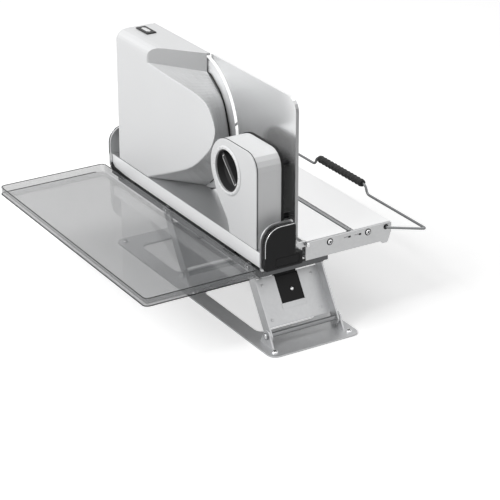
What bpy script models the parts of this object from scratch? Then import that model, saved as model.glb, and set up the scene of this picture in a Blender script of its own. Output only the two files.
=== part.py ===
"""Built-in electric food slicer on a fold-down lift, in metres.

+X points right, across the blade, +Y away from the viewer, +Z up. The floor
frame stands on z = 0, and the origin is under its front cross strip.
"""

from math import atan2, cos, pi, radians, sin, sqrt, tan

import bmesh
import bpy
from mathutils import Matrix, Vector

# Driving sizes
DECK_HEIGHT = 0.108
DECK_FRONT = 0.018
DECK_LENGTH = 0.352
BASE_LEFT = -0.046
BASE_HEIGHT = 0.018
TABLE_WIDTH = 0.1175
BLADE_RADIUS = 0.085
BLADE_FROM_FRONT = 0.222
BLADE_HEIGHT = 0.080
HOUSING_HEIGHT = 0.169
HOUSING_DEPTH = 0.048
PIVOT_HEIGHT = 0.013
UPPER_PIVOT_DROP = 0.0279
ARM_RAISED_ANGLE = radians(57)
ARM_LOWERED_ANGLE = radians(5)
ARM_SPACING = 0.190
ARM_WIDTH = 0.092

# Shared clearances and stock
GAP = 0.0003
RUNNING = 0.0004
SHEET = 0.002
THIN_SHEET = 0.0015
OVERRUN = 0.002
SMALL_STEP = 0.0001
ROD_RADIUS = 0.003
PIN_RADIUS = 0.002
ROUND_STEPS = 24

# Distances between neighbours across the blade
BLADE_FROM_HOUSING = 0.0018
BASE_FROM_HOUSING = 0.006
TIP_FROM_BASE = 0.0035
TABLE_FROM_BASE = 0.0055

# Places that follow
BASE_WIDTH = HOUSING_DEPTH + BASE_FROM_HOUSING
BASE_RIGHT = BASE_LEFT + BASE_WIDTH
TABLE_LEFT = BASE_RIGHT + TABLE_FROM_BASE
BLADE_PLANE = BASE_LEFT + HOUSING_DEPTH + BLADE_FROM_HOUSING
DECK_REAR = DECK_FRONT + DECK_LENGTH
TABLE_RIGHT = TABLE_LEFT + TABLE_WIDTH
BLADE_Y = DECK_FRONT + BLADE_FROM_FRONT
BLADE_Z = DECK_HEIGHT + BLADE_HEIGHT
ARM_RISE = DECK_HEIGHT - UPPER_PIVOT_DROP - PIVOT_HEIGHT
ARM_LENGTH = ARM_RISE / sin(ARM_RAISED_ANGLE)


def clear_scene():
    for old in list(bpy.data.objects):
        bpy.data.objects.remove(old, do_unlink=True)


def finish(name, colour, roughness, metallic=0.0, alpha=1.0):
    material = bpy.data.materials.new(name)
    material.use_nodes = True
    shader = material.node_tree.nodes["Principled BSDF"]
    shader.inputs["Base Color"].default_value = (*colour, 1.0)
    shader.inputs["Roughness"].default_value = roughness
    shader.inputs["Metallic"].default_value = metallic
    shader.inputs["Alpha"].default_value = alpha
    material.diffuse_color = (*colour, alpha)
    return material


def spot(axis, first, second, along):
    """A point from its two places in the plane across an axis and its place along it."""
    place = [0, 0, 0]
    order = {"X": (1, 2, 0), "Y": (0, 2, 1), "Z": (0, 1, 2)}[axis]
    for index, value in zip(order, (first, second, along)):
        place[index] = value
    return Vector(place)


def keep(name, look, bm):
    """Makes an object of a finished bmesh, with its faces turned outwards."""
    bmesh.ops.recalc_face_normals(bm, faces=bm.faces)
    mesh = bpy.data.meshes.new(name)
    bm.to_mesh(mesh)
    bm.free()
    mesh.materials.append(look)
    made = bpy.data.objects.new(name, mesh)
    bpy.context.scene.collection.objects.link(made)
    return made


def prism(name, look, axis, outline, low, high):
    """An outline drawn across an axis and extruded along it from low to high."""
    bm = bmesh.new()
    face = bm.faces.new([bm.verts.new(spot(axis, a, b, low)) for a, b in outline])
    grown = bmesh.ops.extrude_face_region(bm, geom=[face])["geom"]
    moved = [item for item in grown if isinstance(item, bmesh.types.BMVert)]
    bmesh.ops.translate(bm, verts=moved, vec=spot(axis, 0, 0, high - low))
    return keep(name, look, bm)


def block(name, look, low, high):
    """A box between two corners."""
    outline = rectangle(low[1], low[2], high[1], high[2])
    return prism(name, look, "X", outline, low[0], high[0])


def revolved(name, look, axis, centre, profile, steps=ROUND_STEPS, ring=False):
    """A profile of (along, radius) spun about a line along an axis; a ring's profile closes on itself."""
    bm = bmesh.new()
    first, second = centre
    points = [bm.verts.new(spot(axis, first + radius, second, along)) for along, radius in profile]
    edges = [bm.edges.new(pair) for pair in zip(points, points[1:])]
    if ring:
        edges.append(bm.edges.new((points[-1], points[0])))
    bmesh.ops.spin(
        bm,
        geom=points + edges,
        cent=spot(axis, first, second, 0),
        axis=spot(axis, 0, 0, 1),
        angle=2 * pi,
        steps=steps,
        use_merge=True,
    )
    bmesh.ops.remove_doubles(bm, verts=bm.verts, dist=MERGE_DISTANCE)
    return keep(name, look, bm)


MERGE_DISTANCE = 0.000005


def rod(name, look, axis, centre, radius, low, high, steps=ROUND_STEPS):
    profile = ((low, 0), (low, radius), (high, radius), (high, 0))
    return revolved(name, look, axis, centre, profile, steps)


def loft(name, look, sections):
    """Closed loops with like counts of points, joined in order and capped."""
    bm = bmesh.new()
    loops = [[bm.verts.new(point) for point in section] for section in sections]
    for near, far in zip(loops, loops[1:]):
        for index in range(len(near)):
            bm.faces.new((near[index - 1], near[index], far[index], far[index - 1]))
    bm.faces.new(loops[0])
    bm.faces.new(loops[-1])
    return keep(name, look, bm)


def apply_boolean(target, other, operation):
    """Keeps the other shape as a hidden helper of a Boolean on the target."""
    other.hide_render = True
    other.display_type = "WIRE"
    modifier = target.modifiers.new(other.name, "BOOLEAN")
    modifier.operation = operation
    modifier.solver = "EXACT"
    modifier.object = other
    return target


def cut(target, *cutters):
    for cutter in cutters:
        apply_boolean(target, cutter, "DIFFERENCE")
    return target


def fuse(target, *others):
    for other in others:
        apply_boolean(target, other, "UNION")
    return target


def soften(target, width, segments=2):
    """A bevel on the sharp edges, put on before any Boolean."""
    modifier = target.modifiers.new("soft edges", "BEVEL")
    modifier.width = width
    modifier.segments = segments
    modifier.limit_method = "ANGLE"
    modifier.angle_limit = radians(40)
    return target


def rectangle(left, bottom, right, top):
    return [(left, bottom), (right, bottom), (right, top), (left, top)]


def arc(centre, radius, start, end, steps):
    """Points of an arc between two angles in degrees."""
    angles = (radians(start + (end - start) * step / steps) for step in range(steps + 1))
    return [(centre[0] + radius * cos(angle), centre[1] + radius * sin(angle)) for angle in angles]


def rounded(corners, steps=4):
    """An outline from corners of (first, second, radius), with an arc at each radius."""
    outline = []
    for index, (first, second, radius) in enumerate(corners):
        here = Vector((first, second))
        if not radius:
            outline.append(here)
            continue
        back = (Vector(corners[index - 1][:2]) - here).normalized()
        ahead = (Vector(corners[(index + 1) % len(corners)][:2]) - here).normalized()
        half = back.angle(ahead) / 2
        centre = here + (back + ahead).normalized() * radius / sin(half)
        leave = here + back * radius / tan(half) - centre
        join = here + ahead * radius / tan(half) - centre
        start = atan2(leave.y, leave.x)
        sweep = (atan2(join.y, join.x) - start + pi) % (2 * pi) - pi
        for step in range(steps + 1):
            angle = start + sweep * step / steps
            outline.append(centre + Vector((cos(angle), sin(angle))) * radius)
    return [tuple(point) for point in outline]


def rounded_box(left, bottom, right, top, radius, steps=4):
    corners = [(a, b, radius) for a, b in rectangle(left, bottom, right, top)]
    return rounded(corners, steps)


def smooth(points, steps):
    """A Catmull-Rom curve through the points, ends included."""
    points = [Vector(point) for point in points]
    padded = [2 * points[0] - points[1], *points, 2 * points[-1] - points[-2]]
    curve = []
    for a, b, c, d in zip(padded, padded[1:], padded[2:], padded[3:]):
        for step in range(steps):
            t = step / steps
            pull = (c - a) * t + (2 * a - 5 * b + 4 * c - d) * t * t + (3 * b - a - 3 * c + d) * t**3
            curve.append(b + pull / 2)
    return curve + [points[-1]]


def inset_outline(outline, distance):
    """A closed outline moved inwards along its corner normals."""
    points = [Vector(point) for point in outline]
    area = sum(a.x * b.y - b.x * a.y for a, b in zip(points, points[1:] + points[:1]))
    turn = 1 if area > 0 else -1
    moved = []
    for index, here in enumerate(points):
        back = (here - points[index - 1]).normalized()
        ahead = (points[(index + 1) % len(points)] - here).normalized()
        across = Vector((-back.y - ahead.y, back.x + ahead.x)).normalized()
        open_share = max(across.dot(Vector((-back.y, back.x))), 0.5)
        moved.append(here + across * turn * distance / open_share)
    return moved


def body(name, place, parent=None):
    """An empty on a joint's axis, which carries the pieces that move with it."""
    empty = bpy.data.objects.new(name, None)
    bpy.context.scene.collection.objects.link(empty)
    empty.location = Vector(place) - (Vector(parent["place"]) if parent else Vector())
    empty["place"] = list(place)
    empty.parent = parent
    return empty


def carry(empty, *pieces):
    """Parents pieces that were made in world places to a body's empty."""
    for piece in pieces:
        piece.parent = empty
        piece.matrix_parent_inverse = Matrix.Translation(-Vector(empty["place"]))


# Lift: floor frame, swing brackets, rods and latch

FLOOR_HALF_WIDTH = 0.060
FLOOR_FRONT = -0.030
FLOOR_REAR = 0.345
FLOOR_STRIP = 0.020
FLOOR_CROSS_HALF = 0.030
FLOOR_CORNER = 0.010
EAR_RADIUS = 0.007
EAR_FOOT_HALF = 0.014
ROD_HEAD_RADIUS = 0.0042
ROD_HEAD_LENGTH = 0.0015
ARM_FRONT_EDGE = 0.006
ARM_WEB_INNER = 0.007
ARM_END = 0.007
ARM_CORNER = 0.006
WEB_START = 0.008
WEB_END = 0.065
LATCH_HALF_WIDTH = 0.015
LATCH_OFFSET = 0.002
LATCH_START = 0.031
LATCH_END = 0.064
LATCH_DEPTH = 0.006
LATCH_TRAVEL = 0.004
LATCH_HOLE_RADIUS = 0.0026
LATCH_HOLE_SHIFT = 0.002
LATCH_EDGE = 0.0012

ARM_HALF_WIDTH = ARM_WIDTH / 2
EAR_INNER = ARM_HALF_WIDTH + 2 * GAP
FRONT_PIVOT = (0, PIVOT_HEIGHT)
REAR_PIVOT = (ARM_SPACING, PIVOT_HEIGHT)


def arm_point(pivot, along, out):
    """A place on an arm: along it from its lower pivot, and out towards its front side."""
    rise, run = sin(ARM_RAISED_ANGLE), cos(ARM_RAISED_ANGLE)
    return (pivot[0] + along * run - out * rise, pivot[1] + along * rise + out * run)


def arm_outline(pivot, low, bottom, high, top, radius=0):
    corners = [(a, b, radius) for a, b in rectangle(low, bottom, high, top)]
    return [arm_point(pivot, along, out) for along, out in rounded(corners)]


def make_floor_frame(look):
    outline = rounded_box(-FLOOR_HALF_WIDTH, FLOOR_FRONT, FLOOR_HALF_WIDTH, FLOOR_REAR, FLOOR_CORNER)
    frame = prism("floor_frame", look, "Z", outline, 0, SHEET)
    window_half = FLOOR_HALF_WIDTH - FLOOR_STRIP
    rows = (
        (FLOOR_CROSS_HALF, ARM_SPACING - FLOOR_CROSS_HALF),
        (ARM_SPACING + FLOOR_CROSS_HALF, FLOOR_REAR - FLOOR_CROSS_HALF),
    )
    for near, far in rows:
        hole = rounded_box(-window_half, near, window_half, far, FLOOR_CORNER)
        cut(frame, prism("floor window", look, "Z", hole, -OVERRUN, SHEET + OVERRUN))
    for pivot in (FRONT_PIVOT, REAR_PIVOT):
        for side in (-1, 1):
            fuse(frame, floor_ear(look, pivot, side))
        cut(frame, pivot_hole(look, pivot))
    return frame


def floor_ear(look, pivot, side):
    """An upright ear whose foot is sunk half into the floor plate."""
    top = arc(pivot, EAR_RADIUS, 0, 180, 8)
    foot = [(pivot[0] - EAR_FOOT_HALF, SHEET / 2), (pivot[0] + EAR_FOOT_HALF, SHEET / 2)]
    ends = sorted((side * EAR_INNER, side * (EAR_INNER + SHEET)))
    return prism("floor ear", look, "X", top + foot, *ends)


def pivot_hole(look, pivot):
    reach = FLOOR_HALF_WIDTH
    return rod("pivot hole", look, "X", pivot, ROD_RADIUS + GAP, -reach, reach, 16)


def make_pivot_rod(name, look, pivot, half_length):
    head = half_length + ROD_HEAD_LENGTH
    profile = (
        (-head, 0),
        (-head, ROD_HEAD_RADIUS),
        (-half_length, ROD_HEAD_RADIUS),
        (-half_length, ROD_RADIUS),
        (half_length, ROD_RADIUS),
        (half_length, ROD_HEAD_RADIUS),
        (head, ROD_HEAD_RADIUS),
        (head, 0),
    )
    return revolved(name, look, "X", pivot, profile, ROUND_STEPS // 2)


def make_swing_bracket(name, look, pivot):
    """A folded channel: two flanges with rod holes, joined by a web set back from the pivots."""
    web_back = -ARM_WEB_INNER - THIN_SHEET
    flange = arm_outline(pivot, -ARM_END, web_back, ARM_LENGTH + ARM_END, ARM_FRONT_EDGE, ARM_CORNER)
    inner = ARM_HALF_WIDTH - SHEET
    bracket = prism(name, look, "X", flange, -ARM_HALF_WIDTH, -inner)
    other = prism("flange", look, "X", flange, inner, ARM_HALF_WIDTH)
    web = arm_outline(pivot, WEB_START, web_back + SMALL_STEP, WEB_END, -ARM_WEB_INNER)
    joined = prism("web", look, "X", web, -inner - SHEET / 2, inner + SHEET / 2)
    fuse(bracket, joined, other)
    for centre in (pivot, arm_point(pivot, ARM_LENGTH, 0)):
        cut(bracket, pivot_hole(look, centre))
    return bracket


def latch_window(look):
    low = LATCH_START - LATCH_TRAVEL - RUNNING
    outline = arm_outline(FRONT_PIVOT, low, -ARM_WEB_INNER - LATCH_DEPTH, WEB_END + OVERRUN, 0)
    half = LATCH_HALF_WIDTH + RUNNING
    return prism("latch window", look, "X", outline, LATCH_OFFSET - half, LATCH_OFFSET + half)


def make_lift_latch(look):
    low, high = LATCH_START, LATCH_END
    face = -ARM_WEB_INNER
    outline = arm_outline(FRONT_PIVOT, low, face - LATCH_DEPTH, high, face, LATCH_EDGE)
    ends = (LATCH_OFFSET - LATCH_HALF_WIDTH, LATCH_OFFSET + LATCH_HALF_WIDTH)
    latch = prism("lift_latch", look, "X", outline, *ends)
    reach = LATCH_DEPTH + OVERRUN
    hole = rod("latch hole", look, "Z", (0, 0), LATCH_HOLE_RADIUS, -reach, reach, 12)
    middle = arm_point(FRONT_PIVOT, (low + high) / 2 - LATCH_HOLE_SHIFT, face)
    hole.location = (LATCH_OFFSET + LATCH_HOLE_SHIFT, *middle)
    hole.rotation_euler = (ARM_RAISED_ANGLE, 0, 0)
    return cut(latch, hole)


# Carrier: bars and cross members under the deck

BAR_WIDTH = 0.014
BAR_TOP_BELOW_DECK = 0.0245
BAR_HEIGHT = 0.009
BAR_START = 0.0085
CROSS_LIP = 0.003
PAD_LENGTH = 0.020
PAD_INSET = 0.030
BASE_RETURN = 0.012
NOTCH_HALF = 0.005
NOTCH_OVER_ROD = 0.0014

BAR_OUTER = ARM_HALF_WIDTH - SHEET - 2 * GAP
BAR_INNER = BAR_OUTER - BAR_WIDTH
BAR_TOP = DECK_HEIGHT - BAR_TOP_BELOW_DECK
BAR_BOTTOM = BAR_TOP - BAR_HEIGHT
BASE_BOTTOM = DECK_HEIGHT - BASE_HEIGHT


def make_carrier_bar(name, look, side):
    """An inverted channel along the deck, drilled for the upper rods and notched over the lowered rear rod."""
    edges = sorted((side * BAR_INNER, side * BAR_OUTER))
    outline = [
        (edges[0], BAR_BOTTOM),
        (edges[0], BAR_TOP),
        (edges[1], BAR_TOP),
        (edges[1], BAR_BOTTOM),
        (edges[1] - THIN_SHEET, BAR_BOTTOM),
        (edges[1] - THIN_SHEET, BAR_TOP - THIN_SHEET),
        (edges[0] + THIN_SHEET, BAR_TOP - THIN_SHEET),
        (edges[0] + THIN_SHEET, BAR_BOTTOM),
    ]
    bar = prism(name, look, "Y", outline, DECK_FRONT + BAR_START, DECK_REAR - BAR_START)
    for pivot in (FRONT_PIVOT, REAR_PIVOT):
        cut(bar, pivot_hole(look, arm_point(pivot, ARM_LENGTH, 0)))
    return cut(bar, rod_notch(look, edges))


def rod_notch(look, edges):
    """The space over the rear lower rod when the lift is down, in the bar's raised place."""
    back = ARM_LENGTH * (cos(ARM_LOWERED_ANGLE) - cos(ARM_RAISED_ANGLE))
    fall = ARM_LENGTH * (sin(ARM_RAISED_ANGLE) - sin(ARM_LOWERED_ANGLE))
    middle = REAR_PIVOT[0] - back
    roof = PIVOT_HEIGHT + fall + ROD_RADIUS + NOTCH_OVER_ROD
    low = (edges[0] - OVERRUN, middle - NOTCH_HALF, BAR_BOTTOM - OVERRUN)
    return block("rod notch", look, low, (edges[1] + OVERRUN, middle + NOTCH_HALF, roof))


def make_cross_member(name, look, rear):
    """An angle across the bars' ends, whose upright leg takes the table's end rail."""
    edge = DECK_REAR if rear else DECK_FRONT
    inward = -1 if rear else 1
    leg_top = DECK_HEIGHT - RAIL_HEIGHT - GAP
    leg_out = edge - inward * SHEET
    tread = edge + inward * (BAR_START - GAP)
    outline = [
        (leg_out, BAR_TOP - CROSS_LIP),
        (leg_out, leg_top),
        (edge, leg_top),
        (edge, BAR_TOP),
        (tread, BAR_TOP),
        (tread, BAR_BOTTOM),
        (tread - inward * THIN_SHEET, BAR_BOTTOM),
        (tread - inward * THIN_SHEET, BAR_TOP - THIN_SHEET),
        (edge, BAR_TOP - THIN_SHEET),
        (edge, BAR_TOP - CROSS_LIP),
    ]
    return prism(name, look, "X", outline, -BAR_OUTER, BAR_OUTER)


def make_rest_pad(name, look, start):
    """A rubber pad on the left bar that the slicer's base rests on."""
    low = (-BAR_OUTER, start, BAR_TOP + GAP)
    high = (BASE_LEFT + BASE_RETURN, start + PAD_LENGTH, BASE_BOTTOM - GAP)
    return soften(block(name, look, low, high), PAD_EDGE)


PAD_EDGE = 0.0008

# Table: plate, rails, guide and carriage

CARRIAGE_WIDTH = 0.0565
CARRIAGE_LENGTH = 0.188
CARRIAGE_TRAVEL = 0.155
CARRIAGE_THICKNESS = 0.0029
CARRIAGE_CORNER = 0.003
TABLE_SHEET = 0.002
TABLE_LIP = 0.0012
GUIDE_GAP = 0.0026
GUIDE_WIDTH = 0.003
TABLE_SKIRT = 0.012
RAIL_HEIGHT = 0.0223
RAIL_TOP_DROP = 0.0006
RAIL_END_DROP = 0.012
RAIL_LOBE_DROP = 0.0255
RAIL_LOBE_LEFT = 0.0145
RAIL_LOBE_RIGHT = 0.0045
RAIL_HOLE_INSET = 0.0076
RAIL_HOLE_DROP = 0.0053
RAIL_SLOT_DROP = 0.0062
RAIL_SLOT_HEIGHT = 0.0012
RAIL_SLOT_LENGTH = 0.009
RAIL_SLOT_INSETS = (0.0655, 0.0510)
RAIL_CORNER = 0.003
TIP_EAR_RADIUS = 0.0032
TIP_PIN_LENGTH = 0.007
WIRE_RADIUS = 0.0016
WIRE_HOLE_CLEARANCE = 0.0005

CHANNEL_DROP = CARRIAGE_THICKNESS + GAP
CARRIAGE_LEFT = TABLE_LEFT + TABLE_LIP + GAP
GUIDE_LEFT = CARRIAGE_LEFT + CARRIAGE_WIDTH + GUIDE_GAP
STEP_LEFT = GUIDE_LEFT + GUIDE_WIDTH + GUIDE_GAP
TIP_PIVOT = (BASE_RIGHT + TIP_FROM_BASE, DECK_HEIGHT)
BAIL_X = TABLE_RIGHT - RAIL_HOLE_INSET
BAIL_Z = DECK_HEIGHT - RAIL_HOLE_DROP


def make_table_plate(look):
    """The table's folded sheet: a sunk channel for the carriage, the right half and its skirt."""
    top = DECK_HEIGHT
    floor = top - CHANNEL_DROP
    outline = [
        (TABLE_LEFT, top),
        (TABLE_LEFT, floor - TABLE_SHEET),
        (STEP_LEFT + TABLE_SHEET, floor - TABLE_SHEET),
        (STEP_LEFT + TABLE_SHEET, top - TABLE_SHEET),
        (TABLE_RIGHT - TABLE_SHEET, top - TABLE_SHEET),
        (TABLE_RIGHT - TABLE_SHEET, top - TABLE_SKIRT),
        (TABLE_RIGHT, top - TABLE_SKIRT),
        (TABLE_RIGHT, top),
        (STEP_LEFT, top),
        (STEP_LEFT, floor),
        (TABLE_LEFT + TABLE_LIP, floor),
        (TABLE_LEFT + TABLE_LIP, top),
    ]
    return prism("table_plate", look, "Y", outline, DECK_FRONT + GAP, DECK_REAR - GAP)


def rail_outline():
    """The end rail's outline: a straight strip with an ear on the left and a drooping lobe on the right."""
    top = DECK_HEIGHT - RAIL_TOP_DROP
    bottom = DECK_HEIGHT - RAIL_HEIGHT
    lobe = DECK_HEIGHT - RAIL_LOBE_DROP
    left = TABLE_LEFT - GAP
    corners = [
        (left, bottom, 0),
        (TABLE_RIGHT - RAIL_LOBE_LEFT, bottom, 0),
        (TABLE_RIGHT - RAIL_LOBE_LEFT + RAIL_CORNER, lobe, RAIL_CORNER / 2),
        (TABLE_RIGHT - RAIL_LOBE_RIGHT, lobe, RAIL_CORNER),
        (TABLE_RIGHT, DECK_HEIGHT - RAIL_END_DROP, RAIL_CORNER / 2),
        (TABLE_RIGHT, top, RAIL_CORNER / 2),
        (left, top, 0),
    ]
    ear = arc(TIP_PIVOT, TIP_EAR_RADIUS, 60, 300, 8)
    return rounded(corners) + ear


def make_end_rail(name, look, rear):
    near = DECK_REAR if rear else DECK_FRONT - SHEET
    rail = prism(name, look, "Y", rail_outline(), near, near + SHEET)
    ends = (near - OVERRUN, near + SHEET + OVERRUN)
    wire_hole = WIRE_RADIUS + WIRE_HOLE_CLEARANCE
    cut(rail, rod("bail hole", look, "Y", (BAIL_X, BAIL_Z), wire_hole, *ends, 16))
    cut(rail, rod("pin hole", look, "Y", TIP_PIVOT, PIN_RADIUS + GAP, *ends, 16))
    slot_z = DECK_HEIGHT - RAIL_SLOT_DROP
    for inset in RAIL_SLOT_INSETS:
        left = TABLE_RIGHT - inset
        slot = rectangle(left, slot_z, left + RAIL_SLOT_LENGTH, slot_z + RAIL_SLOT_HEIGHT)
        cut(rail, prism("rail slot", look, "Y", slot, *ends))
    return rail


def make_guide_rail(look):
    low = (GUIDE_LEFT, DECK_FRONT + GUIDE_GAP, DECK_HEIGHT - CHANNEL_DROP + GAP)
    high = (GUIDE_LEFT + GUIDE_WIDTH, DECK_REAR - GUIDE_GAP, DECK_HEIGHT - GAP)
    return block("carriage_guide_rail", look, low, high)


def make_carriage(look):
    """The flat plate that carries the food past the blade."""
    left, near = CARRIAGE_LEFT, DECK_FRONT + 2 * GAP
    right, far = left + CARRIAGE_WIDTH, near + CARRIAGE_LENGTH
    outline = rounded_box(left, near, right, far, CARRIAGE_CORNER)
    return prism("carriage_plate", look, "Z", outline, DECK_HEIGHT - CARRIAGE_THICKNESS, DECK_HEIGHT)


# Bail: bent wire with a ribbed grip

BAIL_REACH = 0.0365
BAIL_SPLAY = 0.026
BAIL_STUB = 0.003
CRANK_START = 0.089
CRANK_END = 0.203
CRANK_SLOPE = 0.004
CRANK_RISE = 0.0105
BAIL_BEND = 0.005
GRIP_RADIUS = 0.0050
GRIP_VALLEY = 0.0042
GRIP_RIBS = 13
GRIP_MARGIN = 0.010
GRIP_FACETS = 12

BAIL_LONG_X = BAIL_X + BAIL_REACH
GRIP_START = DECK_FRONT + CRANK_START + GRIP_MARGIN
GRIP_END = DECK_FRONT + CRANK_END - GRIP_MARGIN


def bail_corners():
    """The wire's corners: in through the front rail, out, along, over the crank and back."""
    front, rear = DECK_FRONT - SHEET - BAIL_STUB, DECK_REAR + SHEET + BAIL_STUB
    crank = (DECK_FRONT + CRANK_START, DECK_FRONT + CRANK_END)
    top = BAIL_Z + CRANK_RISE
    return [
        (BAIL_X, DECK_FRONT + BAIL_STUB, BAIL_Z),
        (BAIL_X, front, BAIL_Z),
        (BAIL_LONG_X, front - BAIL_SPLAY, BAIL_Z),
        (BAIL_LONG_X, crank[0], BAIL_Z),
        (BAIL_LONG_X, crank[0] + CRANK_SLOPE, top),
        (BAIL_LONG_X, crank[1] - CRANK_SLOPE, top),
        (BAIL_LONG_X, crank[1], BAIL_Z),
        (BAIL_LONG_X, rear + BAIL_SPLAY, BAIL_Z),
        (BAIL_X, rear, BAIL_Z),
        (BAIL_X, DECK_REAR - BAIL_STUB, BAIL_Z),
    ]


def bent(corners, radius, steps=4):
    """A path through corners with a quadratic bend at each inner one."""
    corners = [Vector(corner) for corner in corners]
    path = [corners[0]]
    for before, here, after in zip(corners, corners[1:], corners[2:]):
        back, ahead = before - here, after - here
        reach = min(radius, back.length * 0.45, ahead.length * 0.45)
        start, end = here + back.normalized() * reach, here + ahead.normalized() * reach
        for step in range(steps + 1):
            t = step / steps
            path.append(start * (1 - t) ** 2 + here * 2 * t * (1 - t) + end * t * t)
    return path + [corners[-1]]


def wire(name, look, path, radius, facets=2):
    """A closed tube along a path."""
    curve = bpy.data.curves.new(name, "CURVE")
    curve.dimensions = "3D"
    curve.bevel_depth = radius
    curve.bevel_resolution = facets
    curve.use_fill_caps = True
    spline = curve.splines.new("POLY")
    spline.points.add(len(path) - 1)
    for point, place in zip(spline.points, path):
        point.co = (*place, 1)
    curve.materials.append(look)
    made = bpy.data.objects.new(name, curve)
    bpy.context.scene.collection.objects.link(made)
    return made


def make_bail_grip(look):
    """A foam sleeve on the crank, with ribs from one loop."""
    pitch = (GRIP_END - GRIP_START) / GRIP_RIBS
    bore = WIRE_RADIUS + GAP
    profile = [(GRIP_START, bore)]
    for rib in range(GRIP_RIBS):
        start = GRIP_START + rib * pitch
        profile += [(start, GRIP_VALLEY), (start + pitch / 2, GRIP_RADIUS)]
    profile += [(GRIP_END, GRIP_VALLEY), (GRIP_END, bore)]
    centre = (BAIL_LONG_X, BAIL_Z + CRANK_RISE)
    return revolved("bail_grip", look, "Y", centre, profile, GRIP_FACETS, ring=True)


# Slicer base: base plate, end plates, caps, switch, hooks

SLOT_HALF = 0.034
SLOT_BEFORE_BLADE = 0.0025
END_TOP = 0.0345
END_BOTTOM = 0.0205
END_LEFT = 0.0025
END_SHOULDER_INSET = 0.0140
END_FOOT_INSET = 0.0045
END_STEP = 0.0030
END_CORNER = 0.020
CAP_THICKNESS = 0.0075
CAP_INSET = 0.0022
CAP_EDGE = 0.0020
CAP_EDGE_STEPS = 2
BUTTON_LEFT = 0.0130
BUTTON_INSET = 0.0105
BUTTON_LOW = 0.0154
BUTTON_TOP = 0.0056
BUTTON_DEPTH = 0.0040
BUTTON_POCKET = 0.0024
BUTTON_TRAVEL = 0.0020
BUTTON_PROUD = 0.0004
BUTTON_CORNER = 0.002
HOOK_FOOT = 0.0045
HOOK_WALL = 0.0013
HOOK_LIP_DROP = 0.0032
HOOK_LIP = 0.0018
HOOK_REACH = 0.0026
HOOK_LENGTH = 0.022
HOOK_FRONT_INSET = 0.054
HOOK_REAR_INSET = 0.008


def make_base_plate(look):
    """A channel open below with returned lips, slotted for the blade."""
    top, bottom = DECK_HEIGHT, BASE_BOTTOM
    left, right = BASE_LEFT, BASE_RIGHT
    outline = [
        (left, bottom),
        (left, top),
        (right, top),
        (right, bottom),
        (right - BASE_RETURN, bottom),
        (right - BASE_RETURN, bottom + SHEET),
        (right - SHEET, bottom + SHEET),
        (right - SHEET, top - SHEET),
        (left + SHEET, top - SHEET),
        (left + SHEET, bottom + SHEET),
        (left + BASE_RETURN, bottom + SHEET),
        (left + BASE_RETURN, bottom),
    ]
    base = prism("base_plate", look, "Y", outline, DECK_FRONT - SHEET, DECK_REAR + SHEET)
    low = (BLADE_PLANE - SLOT_BEFORE_BLADE, BLADE_Y - SLOT_HALF, BLADE_Z - BLADE_RADIUS - OVERRUN)
    high = (right + OVERRUN, BLADE_Y + SLOT_HALF, top + OVERRUN)
    return cut(base, block("blade slot", look, low, high))


def end_corners(inset):
    """The end plate's corners, moved in for the cap."""
    left = BASE_LEFT - END_LEFT + inset
    top = DECK_HEIGHT + END_TOP - inset
    step = DECK_HEIGHT - END_STEP
    bottom = DECK_HEIGHT - END_BOTTOM + inset / 2
    shoulder = BASE_RIGHT - END_SHOULDER_INSET
    foot = BASE_RIGHT - END_FOOT_INSET
    small = END_CORNER / 8
    return [
        (left, bottom, small),
        (foot, bottom, small),
        (foot, step, 0),
        (shoulder, step, 0),
        (shoulder, top, small),
        (left, top, END_CORNER),
    ]


def make_end_plate(name, look, rear):
    """An upturned sheet end with the ear that the tip hinge pin passes through."""
    near = DECK_REAR + SHEET + GAP if rear else DECK_FRONT - 2 * SHEET - GAP
    plate = prism(name, look, "Y", rounded(end_corners(0), 6), near, near + SHEET)
    bottom = DECK_HEIGHT - TIP_EAR_RADIUS
    ear = arc(TIP_PIVOT, TIP_EAR_RADIUS, -90, 90, 8)
    root = BASE_RIGHT - END_SHOULDER_INSET - SHEET
    ear += [(root, DECK_HEIGHT + TIP_EAR_RADIUS), (root, bottom - 2 * SHEET), (TIP_PIVOT[0] - 2 * SHEET, bottom)]
    fuse(plate, prism("tip ear", look, "Y", ear, near, near + SHEET))
    ends = (near - OVERRUN, near + SHEET + OVERRUN)
    return cut(plate, rod("pin hole", look, "Y", TIP_PIVOT, PIN_RADIUS + GAP, *ends, 16))


def make_end_cap(name, look, rear):
    plate_out = DECK_REAR + 2 * SHEET + GAP if rear else DECK_FRONT - 2 * SHEET - GAP
    outward = 1 if rear else -1
    ends = sorted((plate_out + outward * GAP, plate_out + outward * (GAP + CAP_THICKNESS)))
    cap = prism(name, look, "Y", rounded(end_corners(CAP_INSET), 6), *ends)
    return soften(cap, CAP_EDGE, CAP_EDGE_STEPS)


def button_outline(clearance):
    left = BASE_LEFT + BUTTON_LEFT - clearance
    right = BASE_RIGHT - BUTTON_INSET + clearance
    low = DECK_HEIGHT - BUTTON_LOW - clearance
    top = DECK_HEIGHT - BUTTON_TOP + clearance
    return rounded_box(left, low, right, top, BUTTON_CORNER)


def cap_face():
    """Where the front cap's outer face lies along Y."""
    return DECK_FRONT - 2 * SHEET - 2 * GAP - CAP_THICKNESS


def make_switch_recess(look):
    depth = BUTTON_DEPTH + BUTTON_TRAVEL + GAP
    return prism("switch recess", look, "Y", button_outline(RUNNING), cap_face() - OVERRUN, cap_face() + depth)


def switch_middle():
    """The middle of the switch, across and up."""
    across = (BASE_LEFT + BUTTON_LEFT + BASE_RIGHT - BUTTON_INSET) / 2
    return (across, DECK_HEIGHT - (BUTTON_LOW + BUTTON_TOP) / 2)


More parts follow.
